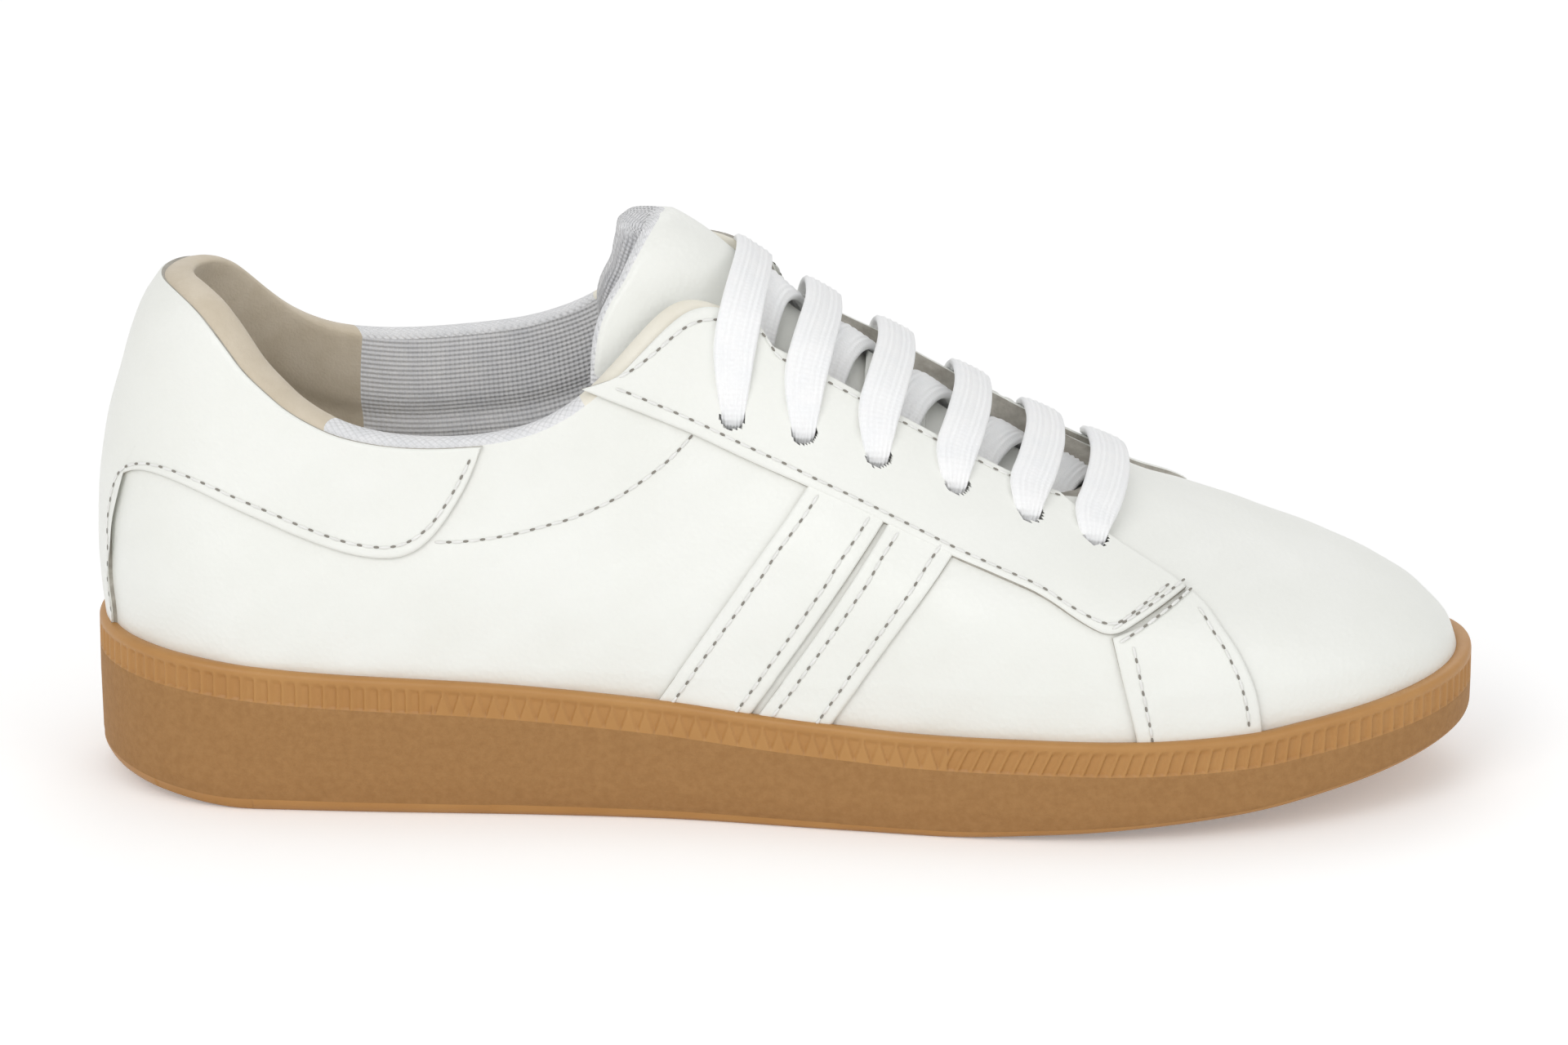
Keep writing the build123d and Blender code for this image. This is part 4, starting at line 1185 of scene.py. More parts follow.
@dataclass
class Stitching:
    """Lockstitch rows: raised thread between dark needle holes."""

    pitch: float = 3.3
    length: float = 2.3
    width: float = 0.6
    hole: float = 0.27
    slit: float = 2.3
    sides: int = 8
    arch: float = 0.10
    flatness: float = 0.7
    hole_lift: float = 0.04
    threads: list = field(default_factory=list)
    holes: list = field(default_factory=list)

    def add(self, line: Curve, height: float) -> None:
        """Sew along an (angle, height) line that lies this far above the skin.

        Args:
            line: the row to sew.
            height: how far outside the skin it lies.
        """
        points = LAST.raised(line[:, 0], line[:, 1], height)
        normal = LAST.normal(line[:, 0], line[:, 1])
        run = run_along(points)
        count = int(run[-1] // self.pitch)
        if count < 1:
            return
        start = (run[-1] - count * self.pitch) / 2
        for i in range(count):
            middle = start + (i + 0.5) * self.pitch
            self.sew_one(points, normal, run, middle)
            self.pierce(points, normal, run, middle + self.pitch / 2)

    def sew_one(self, points: Grid, normal: Grid, run: Grid, middle: float) -> None:
        """Add one raised stitch.

        Args:
            points: points of the row.
            normal: outward directions along the row.
            run: length from the row's start to each point.
            middle: length at which the stitch is centred.
        """
        ends = [at_runs(middle + s * self.length / 2, run, points) for s in (-1, 1)]
        up = at_runs(middle, run, normal)
        up /= np.linalg.norm(up)
        along = ends[1] - ends[0]
        along /= np.linalg.norm(along)
        side = np.cross(along, up)
        centre = at_runs(middle, run, points)
        shares = np.array([-1, -0.86, -0.5, 0, 0.5, 0.86, 1])
        girth = np.sqrt(np.clip(1 - shares**4, 0.02, 1)) * self.width / 2
        turn = np.linspace(0, 2 * math.pi, self.sides, endpoint=False)
        ring = np.cos(turn)[:, None] * side + np.sin(turn)[:, None] * up * self.flatness
        spots = (centre + shares[:, None, None] * along * self.length / 2
                 + girth[:, None, None] * ring + up * self.arch * (1 - shares**2)[:, None, None])
        self.threads.append((spots.reshape(-1, 3), ring_quads(len(shares), self.sides)))

    def pierce(self, points: Grid, normal: Grid, run: Grid, where: float) -> None:
        """Add one needle hole.

        Args:
            points: points of the row.
            normal: outward directions along the row.
            run: length from the row's start to each point.
            where: length at which the hole is centred.
        """
        up = at_runs(where, run, normal)
        up /= np.linalg.norm(up)
        centre = at_runs(where, run, points) + up * self.hole_lift
        along = at_runs(where + 0.3, run, points) - at_runs(where - 0.3, run, points)
        along /= max(np.linalg.norm(along), 1e-9)
        other = np.cross(up, along)
        turn = np.linspace(0, 2 * math.pi, self.sides, endpoint=False)
        ring = centre + self.hole * (np.cos(turn)[:, None] * along * self.slit
                                     + np.sin(turn)[:, None] * other)
        self.holes.append((ring, np.array([[0, 1, 2, 3], [0, 3, 4, 7], [4, 5, 6, 7]])))

    def build(self, name: str) -> None:
        """Make the thread and hole meshes.

        Args:
            name: name of the thread's object.
        """
        for label, parts, finish in ((name, self.threads, THREAD),
                                     (name + "_holes", self.holes, NEEDLE_HOLE)):
            points, faces = merge(parts)
            piece = new_object(label, points, faces, [STORE(finish)])
            finish_piece(piece, Body.UPPER, "white_leather")


def overlay_set() -> list[Overlay]:
    """Return every overlay of both sides.

    Returns:
        The overlays, the lateral side's first and the backstay last.
    """
    found = []
    for side in Side:
        tag = side.name.lower()
        lateral = side is Side.LATERAL
        topline = LATERAL_TOPLINE if lateral else MEDIAL_TOPLINE
        throat = THROAT_LATERAL if lateral else THROAT_MEDIAL[::-1]
        top = [p for p in topline if p[0] > (101 if lateral else 98)]
        throat_points = [p for p in throat if p[0] <= 190]
        high = np.concatenate([LAST.edge(top, side), LAST.plan_edge(throat_points, side)])
        found.append(Overlay(f"eyestay_{tag}", smooth_line(LAST.edge(EYESTAY_LOW, side), 2),
                             smooth_line(high, 2), columns=260, rows=46, thickness=1.35,
                             holes=True))
        rear, front = (smooth_line(LAST.edge(line, side), 1) for line in FOREFOOT_EDGES)
        found.append(Overlay(f"forefoot_overlay_{tag}", rear, front, columns=60, rows=40))
        rear, middle, front = (LAST.edge(line, side) for line in STRIPE_EDGES)
        found.append(Overlay(f"stripe_rear_{tag}", rear, shift(middle, -STRIPE_GAP),
                             columns=70, rows=22))
        found.append(Overlay(f"stripe_front_{tag}", shift(middle, STRIPE_GAP), front,
                             columns=70, rows=22))
    found.append(backstay())
    return found


def shift(curve: Curve, amount: float) -> Curve:
    """Move an (angle, height) curve round the last by an angle towards the toe."""
    toward = np.where(curve[:, 0] < math.pi, 1.0, -1.0)
    return np.stack([curve[:, 0] + toward * amount, curve[:, 1]], -1)


def backstay() -> Overlay:
    """Return the heel piece that wraps both sides and ends in a strip down to the sole.

    Returns:
        The overlay, not yet made into a mesh.
    """
    lateral = LAST.edge(BACKSTAY_LOW, Side.LATERAL)
    medial = lateral.copy()
    medial[:, 0] = 2 * math.pi - lateral[:, 0]
    low = np.concatenate([medial[::-1] - [2 * math.pi, 0], lateral])
    top_l = LAST.edge([p for p in LATERAL_TOPLINE if p[0] <= 80], Side.LATERAL)
    top_m = LAST.edge([p for p in MEDIAL_TOPLINE if p[0] <= 80], Side.MEDIAL) - [2 * math.pi, 0]
    top_l[0, 0] = top_m[0, 0] = 0.0
    high = np.concatenate([top_m[::-1], top_l[1:]])
    return Overlay("backstay", smooth_line(low, 1), smooth_line(high, 1), columns=260, rows=40)


# --------------------------------------------------------------------------- rim and lining


@dataclass
class Collar:
    """Rolled edges, padded linings and everything seen inside the opening."""

    lining_depth: float = 3.0
    rows: int = 46
    roll_steps: int = 9
    roll_height: float = 1.5
    raw_height: float = 0.2
    roll_end: float = 134.0
    crease: float = 0.9
    crease_drop: float = 17.0
    crease_width: float = 2.2
    heel_end: float = 48.0
    fold_start: float = 99.0
    cut_start: float = 133.0
    vamp_start: float = 210.0

    def roll(self, flat_top: Curve) -> tuple[Grid, Grid]:
        """Return the rim's points, column by column, and each column's x.

        Args:
            flat_top: the upper's top edge in angle and height.
        Returns:
            Points by column, and the x of every column.
        """
        phi, z = flat_top[:, 0], flat_top[:, 1]
        outer = LAST.raised(phi, z, 0.0)
        inner = LAST.point(phi, z, self.lining_depth, padded=True)
        x = outer[:, 0] + MID_X
        below = LAST.raised(phi, z - 3.0, 0.0)
        up = outer - below
        up /= np.linalg.norm(up, axis=1, keepdims=True)
        rolled = np.clip((self.roll_end - x) / 6, 0, 1)
        height = self.raw_height + (self.roll_height - self.raw_height) * rolled
        turn = np.linspace(0, math.pi, self.roll_steps)
        middle, arm = (outer + inner) / 2, (outer - inner) / 2
        grid = (middle[:, None] + arm[:, None] * np.cos(turn)[None, :, None]
                + up[:, None] * height[:, None, None] * np.sin(turn)[None, :, None])
        return grid, x

    def lining(self, low: Curve, top: Curve) -> Grid:
        """Return the lining's points from the rim down to the insole.

        Args:
            low: the skin's bottom loop.
            top: the skin's top loop.
        Returns:
            Points by column, from the rim downwards.
        """
        floor_x = LAST.point(low[:, 0], low[:, 1])[:, 0] + MID_X
        floor = np.interp(floor_x, [-20, 60, 150, 200, 235, 290],
                          [25.1, 24.6, 18.6, 17.6, 20.6, 29.1])
        share = np.linspace(0, 1, self.rows)[None, :]
        phi = top[:, 0][:, None] * (1 - share) + low[:, 0][:, None] * share
        z = top[:, 1][:, None] * (1 - share) + floor[:, None] * share
        lining = LAST.point(phi, z, self.lining_depth, padded=True)
        from_crease = (z - (top[:, 1][:, None] - self.crease_drop)) / self.crease_width
        crease = self.crease * np.exp(-(from_crease**2)) * (phi > 0.05) * (z > 45)
        return lining + LAST.normal(phi, z, self.lining_depth, True) * crease[..., None]

    def build(self, upper: Upper) -> None:
        """Make the rim and the linings.

        Args:
            upper: sizes of the skin.
        """
        low, top = upper.stations()
        rim, x = self.roll(top)
        grid = np.concatenate([rim, self.lining(low, top)[:, 1:]], axis=1)
        columns, rows = grid.shape[:2]
        points = grid.reshape(-1, 3)
        faces = quad_faces(columns, rows)
        row = np.tile(np.arange(rows - 1), columns - 1)
        column_x = np.repeat((x[1:] + x[:-1]) / 2, rows - 1)
        lateral = np.repeat((top[1:, 0] + top[:-1, 0]) / 2, rows - 1) < math.pi
        on_rim = row < self.roll_steps - 1
        heel = column_x < self.heel_end
        front = column_x > self.cut_start
        turned = (column_x > self.fold_start) & ~front
        vamp = ~on_rim & (points[faces].mean(1)[:, 0] + MID_X > self.vamp_start)
        run = np.cumsum(np.concatenate([np.zeros((columns, 1)), np.linalg.norm(
            np.diff(grid, axis=1), axis=2)], axis=1), axis=1)
        across = run_along(grid[:, 0])
        uv = np.stack([np.repeat(across[:, None], rows, 1), run], -1).reshape(-1, 2)
        bound = on_rim & ~heel & ~front & ~turned
        inside = ~on_rim & ~heel & ~vamp
        groups = (
            ("heel_lining_suede", heel & ~vamp, SUEDE, "suede_lining", ("heel_lining",)),
            ("collar_binding_lateral", bound & lateral, TAPE, "binding_tape",
             ("collar_binding_lateral",)),
            ("collar_binding_medial", bound & ~lateral, TAPE, "binding_tape",
             ("collar_binding_medial",)),
            ("eyestay_folded_edge", on_rim & turned, FOLDED_EDGE, "white_leather", ()),
            ("throat_cut_edge", on_rim & front, RAW_EDGE, "white_leather", ()),
            ("quarter_lining_lateral", inside & lateral, MESH, "mesh_lining",
             ("quarter_lining_lateral", "collar_foam_lateral")),
            ("quarter_lining_medial", inside & ~lateral, MESH, "mesh_lining",
             ("quarter_lining_medial", "collar_foam_medial")),
            ("vamp_lining_mesh", vamp, MESH, "mesh_lining", ("vamp_lining",)))
        for name, keep, finish, slot, nodes in groups:
            part_points, part_faces, used = kept_part(points, faces, keep)
            piece = new_object("visual_" + name, part_points, part_faces, [STORE(finish)])
            set_uv(piece, uv[used])
            finish_piece(piece, Body.UPPER, slot, *nodes)


# --------------------------------------------------------------------------- tongue


@dataclass
class Tongue:
    """Padded tongue sewn at its base, bound round its end and lined with mesh."""

    along: int = 150
    across: int = 60
    base_z: float = 51.0
    end_z: float = 115.0
    thick: float = 6.0
    binding: float = 0.985
    end_round: float = 0.03
    middle_depth: float = 6.5
    channel: float = 0.45
    channel_width: float = 0.006
    keeper_x: tuple[float, float] = (152.0, 164.0)
    keeper_y: tuple[float, float] = (-8.0, 12.0)
    keeper_depth: float = 5.4
    keeper_lift: float = 0.7
    keeper_thick: float = 1.2

    @staticmethod
    def step(value: Grid, start: float, end: float) -> Grid:
        """Return an eased step from 0 to 1."""
        t = np.clip((value - start) / (end - start), 0, 1)
        return t * t * (3 - 2 * t)

    def depth(self, k: Grid, w: Grid) -> Grid:
        """Return how deep the outer face lies, flaring out beside its end.

        Args:
            k: share of the length, 0 at the base.
            w: share of the width, -1 lateral to 1 medial.
        Returns:
            The depth of each point.
        """
        flat = np.interp(k, [0, 0.1, 0.8, 1.0], [6.9, 6.2, 6.0, 6.2])
        beside = np.clip(1 - ((np.abs(w) - 0.58) / 0.42) ** 2, 0, 1)
        return flat + self.step(k, 0.80, 0.97) * beside * np.where(w > 0, 2.6, -1.6)

    def sheet(self, k: Grid, w: Grid) -> tuple[Grid, Grid]:
        """Return the angle and height of the tongue, w from -1 lateral to 1 medial.

        Args:
            k: share of the length, 0 at the base.
            w: share of the width.
        Returns:
            The angle and the height of each point.
        """
        x = np.interp(k, np.linspace(0, 1, 6), [204, 180, 150, 125, 109, 99.2])
        low = np.interp(x, [99.2, 109, 125, 150, 180, 206], [84, 77, 67.5, 55, 45.5, 39])
        centre = self.base_z + (self.end_z - self.base_z) * k
        phi_low = LAST.angle(x, low, Side.LATERAL, self.middle_depth)
        phi = math.pi + (math.pi - phi_low) * w
        return phi, centre - (centre - low) * np.abs(w) ** (2 + 1.5 * self.step(k, 0.5, 1.0))

    def build(self) -> bpy.types.Object:
        """Make the tongue as one closed padded form.

        Returns:
            The tongue.
        """
        k = np.linspace(0, 1, self.along)[:, None]
        turn = np.linspace(0, 2 * math.pi, 2 * self.across, endpoint=False)[None, :]
        w = -np.cos(turn)
        k_all, w_all = k + 0 * turn, w + 0 * k
        phi, z = self.sheet(k_all, w_all)
        depth = self.depth(k_all, w_all)
        face = LAST.point(phi, z, depth)
        normal = LAST.normal(phi, z, self.middle_depth)
        end = np.sqrt(np.clip(1 - np.clip((k_all - 1 + self.end_round) / self.end_round, 0, 1) ** 2,
                              0, 1))
        base = 0.3 + 0.7 * self.step(k_all, 0.0, 0.08)
        swell = np.clip(1 - np.abs(w_all) ** 5, 0, 1) ** 0.5 * end * base
        channel = self.channel * np.exp(-(((k_all - self.binding) / self.channel_width) ** 2))
        outer = np.sin(turn) > 0
        inward = self.thick / 2 * np.where(outer, 1 - swell, 1 + swell)
        inward = inward + np.where(outer, channel * swell, 0.0)
        grid = face - normal * inward[..., None]
        columns, rows = grid.shape[:2]
        points = grid.reshape(-1, 3)
        quads = ring_quads(columns, rows)
        k_face = (np.repeat(np.arange(columns - 1), rows) + 0.5) / (columns - 1)
        w_face = np.abs(w_all[:-1].reshape(-1))
        under = (np.tile(np.arange(rows), columns - 1) + 0.5) > rows / 2
        bound = (k_face > self.binding) | (w_face > 0.985)
        finish = np.where(bound, 2, np.where(under, 1, 0))
        caps = [list(range(rows)), [(columns - 1) * rows + r for r in range(rows)][::-1]]
        piece = new_object("visual_tongue", points, quads.tolist() + caps,
                           [STORE(WHITE_LEATHER), STORE(MESH), STORE(TAPE)],
                           np.concatenate([finish, [2, 2]]))
        run_k = np.cumsum(np.concatenate([np.zeros((1, rows)), np.linalg.norm(
            np.diff(grid, axis=0), axis=2)], axis=0), axis=0)
        ring = np.linalg.norm(np.diff(grid, axis=1), axis=2)
        run_w = np.cumsum(np.concatenate([np.zeros((columns, 1)), ring], axis=1), axis=1)
        set_uv(piece, np.stack([run_k, run_w], -1))
        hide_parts("tongue_leather", "tongue_foam", "tongue_lining", "tongue_binding")
        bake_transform(piece)
        LOG.info("visual_tongue: %d faces, blended at its base", len(piece.data.polygons))
        return piece

    def keeper(self) -> None:
        """Make the slotted strap that the lace runs through."""
        count_u, count_v = 30, 26
        x, y = np.broadcast_arrays(np.linspace(*self.keeper_x, count_v)[None, :],
                                   np.linspace(*self.keeper_y, count_u)[:, None])
        z = LAST.height(x, y, Side.LATERAL, self.keeper_depth)
        other = LAST.height(x, y, Side.MEDIAL, self.keeper_depth)
        z = np.where(y < LAST.centre(x), z, other)
        lift = self.keeper_lift * np.cos((y - 2) / 10 * math.pi / 2)
        top = np.stack([x - MID_X, y - MID_Y, z + lift], -1)
        low = top - [0, 0, self.keeper_thick]
        points, faces = merge([(top.reshape(-1, 3), quad_faces(count_u, count_v, flip=True)),
                               (low.reshape(-1, 3), quad_faces(count_u, count_v))])
        rim, size = [], count_u * count_v
        ring = ([i * count_v for i in range(count_u)]
                + [(count_u - 1) * count_v + j for j in range(1, count_v)]
                + [i * count_v + count_v - 1 for i in range(count_u - 2, -1, -1)]
                + [j for j in range(count_v - 2, 0, -1)])
        for a, b in zip(ring, ring[1:] + ring[:1]):
            rim.append([a, b, b + size, a + size])
        finish = [0] * len(faces) + [1] * len(rim)
        piece = new_object("visual_lace_keeper", points, faces + rim,
                           [STORE(WHITE_LEATHER), STORE(RAW_EDGE)], finish)
        finish_piece(piece, Body.TONGUE, "white_leather", "lace_keeper")


# --------------------------------------------------------------------------- lace


@dataclass
class Lace:
    """Flat woven lace: straight bars over the facings and slanting runs beneath."""

    width: float = 8.6
    thick: float = 1.8
    at_hole: float = 4.0
    drop: float = 0.8
    lean: float = 3.0
    over: float = 1.1
    under: float = 4.75
    crossing: float = 3.15
    hole_reach: float = 5.0
    shoulder: float = 0.78
    tail_width: float = 0.7
    tip_width: float = 2.6
    ribs: float = 6.5
    rib_share: float = 0.15
    steps: int = 60
    section: int = 52

    def strip(self, path: Grid, facing: Grid, width: Grid) -> tuple[Grid, Grid, Grid]:
        """Return points, quads and surface coordinates of one flat run.

        Args:
            path: points of the run's middle line.
            facing: which way its flat side looks at each point.
            width: its width at each point.
        Returns:
            Points, quads and surface coordinates of the run.
        """
        along = np.gradient(path, axis=0)
        along /= np.linalg.norm(along, axis=1, keepdims=True)
        side = np.cross(facing, along)
        side /= np.linalg.norm(side, axis=1, keepdims=True)
        up = np.cross(along, side)
        half = self.section // 2
        flat = np.concatenate([np.linspace(1, -1, half, endpoint=False),
                               np.linspace(-1, 1, half, endpoint=False)])
        high = np.clip(1 - np.abs(flat) ** 3.6, 0, 1) ** 0.375
        high *= np.where(np.arange(self.section) < half, 1, -1)
        high *= 1 + self.rib_share * np.cos(math.pi * self.ribs * flat)
        points = (path[:, None]
                  + side[:, None] * (flat[None, :] * width[:, None] / 2)[..., None]
                  + up[:, None] * (high * self.thick / 2)[None, :, None])
        uv = np.stack([np.repeat(run_along(path)[:, None], self.section, 1),
                       flat[None, :] * width[:, None] / 2], -1)
        quads = ring_quads(len(path), self.section)
        return points.reshape(-1, 3), quads, uv.reshape(-1, 2)

    @staticmethod
    def place(x: float, y: float, depth: float) -> Grid:
        """Return the point of a layer over a plan position.

        Args:
            x: length from the heel.
            y: distance sideways.
            depth: how far under the leather's outer face.
        Returns:
            The point, in the shared frame.
        """
        side = Side.LATERAL if y < float(LAST.centre(x)) else Side.MEDIAL
        z = float(LAST.height(x, y, side, depth))
        return np.array([x - MID_X, y - MID_Y, z])

    @staticmethod
    def out(x: float, y: float) -> Grid:
        """Return the leather's outward direction over a plan position.

        Args:
            x: length from the heel.
            y: distance sideways.
        Returns:
            The unit direction.
        """
        side = Side.LATERAL if y < float(LAST.centre(x)) else Side.MEDIAL
        z = float(LAST.height(x, y, side))
        dx = float(LAST.height(x + 1, y, side)) - z
        dy = (float(LAST.height(x, y + side.value, side)) - z) * side.value
        normal = np.cross([1.0, 0.0, dx], [0.0, 1.0, dy])
        return normal / np.linalg.norm(normal)

    def smooth_run(self, knots: list, facings: list, widths: list) -> tuple[Grid, Grid, Grid]:
        """Round a run's corners and spread its points evenly.

        Args:
            knots: corners of the run.
            facings: which way the flat side looks at each corner.
            widths: the width at each corner.
        Returns:
            Points, facings and widths, evenly spaced.
        """
        packed = np.concatenate([np.array(knots), np.array(facings),
                                 np.array(widths)[:, None]], axis=1)
        packed = smooth_line(packed, 3)
        run = run_along(packed[:, :3])
        packed = at_runs(np.linspace(0, run[-1], self.steps), run, packed)
        facing = packed[:, 3:6] / np.linalg.norm(packed[:, 3:6], axis=1, keepdims=True)
        return packed[:, :3], facing, packed[:, 6]

    def bar(self, x: float) -> tuple[Grid, Grid, Grid]:
        """Return one straight bar from the medial eyelet over to the lateral one.

        Args:
            x: length from the heel of both eyelets.
        Returns:
            Points, quads and surface coordinates of the run.
        """
        rest = -(self.over + self.thick / 2 + 0.15)
        medial, lateral = EYELET_YS[Side.MEDIAL], EYELET_YS[Side.LATERAL]
        edges = [self.place(x, 17.5, rest), self.place(x, -13.5, rest)]
        middle = (edges[0] + edges[1]) / 2 + [0, 0, 1.2]
        middle[2] = max(middle[2], self.place(x, 2.0, 5.0)[2])
        middle[0] += self.lean
        edges = [edge + [self.lean * 0.55, 0, 0] for edge in edges]
        flat_up = self.out(x, 8.0) + self.out(x, -4.0)
        flat_up /= np.linalg.norm(flat_up)
        top_m, top_l = self.out(x, medial), self.out(x, lateral)
        entries = [self.place(x, medial + self.drop, 0), self.place(x, lateral - self.drop, 0)]
        knots = [entries[0] - top_m * self.hole_reach, entries[0], self.place(x, medial - 0.4, rest),
                 self.place(x, medial - 4.0, rest), edges[0], middle, edges[1],
                 self.place(x, lateral + 4.0, rest), self.place(x, lateral + 0.4, rest),
                 entries[1], entries[1] - top_l * self.hole_reach]
        side_m = np.array([0, 1.0, 0]) * 0.9 + top_m * 0.3
        side_l = np.array([0, -1.0, 0]) * 0.9 + top_l * 0.3
        facings = [side_m, side_m, top_m, top_m, (top_m + flat_up) / 2, flat_up,
                   (top_l + flat_up) / 2, top_l, top_l, side_l, side_l]
        narrow, wide = self.at_hole, self.width
        shoulder = wide * self.shoulder
        widths = [narrow, narrow, shoulder, *[wide] * 5, shoulder, narrow, narrow]
        return self.strip(*self.smooth_run(knots, facings, widths))

    def slant(self, x: float, next_x: float) -> tuple[Grid, Grid, Grid]:
        """Return one run beneath, from a lateral eyelet forward to the next medial one.

        Args:
            x: length from the heel of the lateral eyelet.
            next_x: length from the heel of the medial one.
        Returns:
            Points, quads and surface coordinates of the run.
        """
        knots, facings, widths = [], [], []
        medial, lateral = EYELET_YS[Side.MEDIAL], EYELET_YS[Side.LATERAL]
        stations = [(0.0, lateral, self.under, 0.55), (0.12, -16.5, self.under, 0.9),
                    (0.30, -8.0, self.crossing, 1), (0.50, 2.0, self.crossing, 1),
                    (0.70, 12.0, self.crossing, 1), (0.88, 20.5, self.under, 0.9),
                    (1.0, medial, self.under, 0.55)]
        for share, y, depth, wide in stations:
            at = x + (next_x - x) * share
            knots.append(self.place(at, y, depth))
            facings.append(self.out(at, y))
            widths.append(self.width * wide)
        return self.strip(*self.smooth_run(knots, facings, widths))

    def tail(self, x: float, side: Side, ends: list) -> tuple[Grid, Grid, Grid]:
        """Return a tucked-in end, from an eyelet to its aglet.

        Args:
            x: length from the heel of the eyelet.
            side: side the eyelet is on.
            ends: steps forward, down and further in.
        Returns:
            Points, quads and surface coordinates of the run.
        """
        y = EYELET_YS[side]
        start = self.place(x, y, self.under)
        knots, facings = [start], [self.out(x, y)]
        for forward, down, sink in ends:
            z = start[2] - down
            at = x + forward
            phi = LAST.angle(at, z, side, self.under + sink)
            knots.append(LAST.point(phi, z, self.under + sink))
            facings.append(LAST.normal(phi, z, self.under + sink))
        widths = [self.at_hole, *[self.width * self.tail_width] * (len(ends) - 1), self.tip_width]
        return self.strip(*self.smooth_run(knots, facings, widths))

    def build(self) -> bpy.types.Object:
        """Make the whole lace as one piece.

        Returns:
            The lace.
        """
        runs = [self.bar(x) for x in EYELET_XS]
        runs += [self.slant(a, b) for a, b in zip(EYELET_XS, EYELET_XS[1:])]
        runs.append(self.tail(EYELET_XS[0], Side.MEDIAL, [(4, 13, 0), (9, 24, 1)]))
        runs.append(self.tail(EYELET_XS[-1], Side.LATERAL, [(-7, 6, 0), (-15, 9, 2)]))
        points, faces = merge([(run[0], run[1]) for run in runs])
        piece = new_object("visual_lace", points, faces, [STORE(COTTON)])
        set_uv(piece, np.concatenate([run[2] for run in runs]))
        finish_piece(piece, Body.UPPER, "lace_cotton", "lace")
        return piece


# --------------------------------------------------------------------------- hidden CAD parts


def dress_frame(nodes: dict) -> None:
    """Give every CAD node that stays its real material.

    Args:
        nodes: the frame's objects by name.
    """
    finishes = {
        "midsole_insert": INNER_FOAM, "lasting_board": INNER_BOARD, "sockliner_foam": INNER_FOAM,
        "sockliner_cover": INSOLE, "toe_puff": STIFFENER, "heel_counter": STIFFENER,
        "quarter_interlining": INNER_BOARD, "facing_stay_lateral": STIFFENER,
        "facing_stay_medial": STIFFENER, "aglet_start": AGLET, "aglet_end": AGLET}
    for name, finish in finishes.items():
        materials = nodes[name].data.materials
        if not materials:
            materials.append(STORE(finish))
        for index in range(len(materials)):
            materials[index] = STORE(finish)
        LOG.info("%s: dressed as %s", name, finish.name)


# --------------------------------------------------------------------------- studio


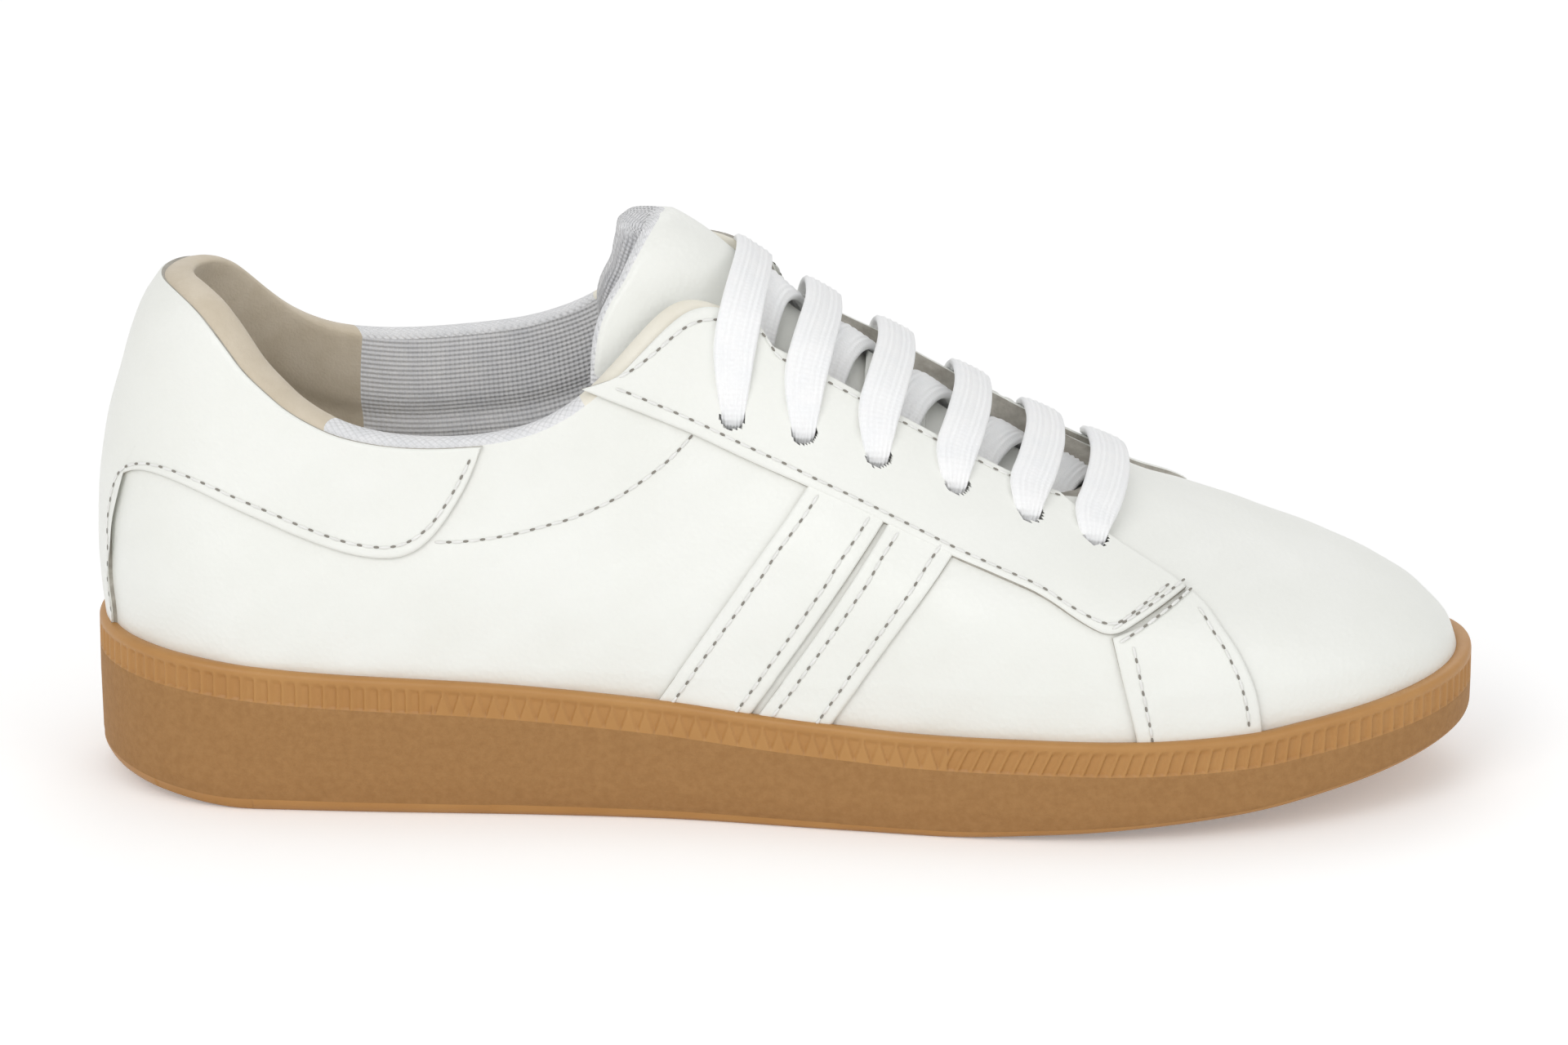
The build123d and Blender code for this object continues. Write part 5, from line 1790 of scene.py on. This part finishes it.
@dataclass
class Studio:
    """Pale floor, soft lamps and the camera."""

    azimuth: float = 3.0
    elevation: float = 18.0
    distance: float = 1.6
    lens: float = 186.3
    target: tuple[float, float, float] = (0.0, -0.0043, 0.0507)
    floor_half: float = 6.0
    floor_glow: float = 0.22
    air_strength: float = 0.62
    air_seen: float = 1.0

    @staticmethod
    def seen(tree: bpy.types.NodeTree) -> bpy.types.NodeSocket:
        """Return 1 for what is seen directly, in a reflection or through something clear.

        Args:
            tree: the node tree to add to.
        Returns:
            The socket that carries the 1 or 0.
        """
        path = add_node(tree, "ShaderNodeLightPath")
        mirrored = add_node(tree, "ShaderNodeMath", {"operation": "MAXIMUM"},
                            {0: path.outputs["Is Camera Ray"], 1: path.outputs["Is Glossy Ray"]})
        clear = add_node(tree, "ShaderNodeMath", {"operation": "MAXIMUM"},
                         {0: mirrored.outputs["Value"], 1: path.outputs["Is Transmission Ray"]})
        return clear.outputs["Value"]

    def floor(self) -> None:
        """Lay a pale floor that reads as white to the camera and keeps the shadow."""
        mesh = bpy.data.meshes.new("studio_floor")
        size = self.floor_half
        mesh.from_pydata([(-size, -size, 0), (size, -size, 0), (size, size, 0),
                          (-size, size, 0)], [], [(0, 1, 2, 3)])
        plate = bpy.data.objects.new("studio_floor", mesh)
        bpy.context.scene.collection.objects.link(plate)
        material = bpy.data.materials.new("matt_white_paper")
        material.use_nodes = True
        tree = material.node_tree
        shader = tree.nodes["Principled BSDF"]
        shader.inputs["Base Color"].default_value = linear("#FAFAFA")
        shader.inputs["Roughness"].default_value = 0.9
        shader.inputs["Emission Color"].default_value = linear("#FFFFFF")
        lift = add_node(tree, "ShaderNodeMapRange", {"To Min": 0.0, "To Max": self.floor_glow},
                        {"Value": self.seen(tree)})
        tree.links.new(lift.outputs["Result"], shader.inputs["Emission Strength"])
        mesh.materials.append(material)

    def lamp(self, name: str, place: tuple, size: float, power: float) -> None:
        """Add a soft square lamp aimed at the shoe.

        Args:
            name: name of the lamp.
            place: where it stands, in metres.
            size: its side, in metres.
            power: its power, in watts.
        """
        data = bpy.data.lights.new(name, "AREA")
        data.shape, data.size, data.energy = "SQUARE", size, power
        lamp = bpy.data.objects.new(name, data)
        lamp.location = place
        aim = Vector(self.target) - Vector(place)
        lamp.rotation_euler = aim.to_track_quat("-Z", "Y").to_euler()
        bpy.context.scene.collection.objects.link(lamp)

    def camera(self) -> None:
        """Stand the camera at the viewing angle."""
        data = bpy.data.cameras.new("camera")
        data.lens, data.sensor_width = self.lens, 36.0
        camera = bpy.data.objects.new("camera", data)
        a, e = math.radians(self.azimuth), math.radians(self.elevation)
        back = Vector((math.sin(a) * math.cos(e), -math.cos(a) * math.cos(e), math.sin(e)))
        camera.location = Vector(self.target) + back * self.distance
        camera.rotation_euler = (-back).to_track_quat("-Z", "Y").to_euler()
        bpy.context.scene.collection.objects.link(camera)
        bpy.context.scene.camera = camera

    def build(self) -> None:
        """Set up floor, lamps, world, camera and view."""
        self.floor()
        self.lamp("key_lamp", (-0.6, -1.3, 0.95), 0.9, 8.0)
        self.lamp("fill_lamp", (1.1, -1.0, 0.7), 1.0, 3.5)
        self.lamp("rear_lamp", (0.1, 1.2, 1.2), 1.0, 3.0)
        world = bpy.data.worlds.new("studio_air")
        world.use_nodes = True
        tree = world.node_tree
        background = tree.nodes["Background"]
        background.inputs["Color"].default_value = linear("#FFFFFF")
        level = add_node(tree, "ShaderNodeMapRange",
                         {"To Min": self.air_strength, "To Max": self.air_seen},
                         {"Value": self.seen(tree)})
        tree.links.new(level.outputs["Result"], background.inputs["Strength"])
        bpy.context.scene.world = world
        bpy.context.scene.view_settings.view_transform = "Standard"
        self.camera()


# --------------------------------------------------------------------------- main


def sew(overlays: list[Overlay]) -> None:
    """Sew every overlay down, with a row along one or both of its long edges.

    Args:
        overlays: the overlays to sew.
    """
    stitching = Stitching()
    insets = {"eyestay": 2.6, "backstay": 2.2, "forefoot": 2.8, "stripe": 2.8}
    for overlay in overlays:
        kind = overlay.name.split("_")[0]
        height = overlay.thickness + THREAD_LIFT
        stitching.add(overlay.row(insets[kind]), height)
        if kind != "backstay":
            stitching.add(overlay.row(insets[kind], from_high=True), height)
    for side in Side:
        stitching.add(LAST.edge(COLLAR_ROW, side), THREAD_LIFT)
        for pairs in TOE_ROWS:
            stitching.add(LAST.edge(pairs, side), TOE_ROW_LIFT)
    stitching.build("overlay_stitching")


def main() -> None:
    """Build the shoe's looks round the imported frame."""
    logging.basicConfig(level=logging.INFO, format="%(message)s")
    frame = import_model()
    Studio().build()
    Cupsole().build()
    upper = Upper()
    build_skin(upper)
    overlays = overlay_set()
    for overlay in overlays:
        overlay.build()
    sew(overlays)
    Collar().build(upper)
    tongue = Tongue()
    tongue.build()
    tongue.keeper()
    Lace().build()
    dress_frame(frame["nodes"])


if __name__ == "__main__":
    main()
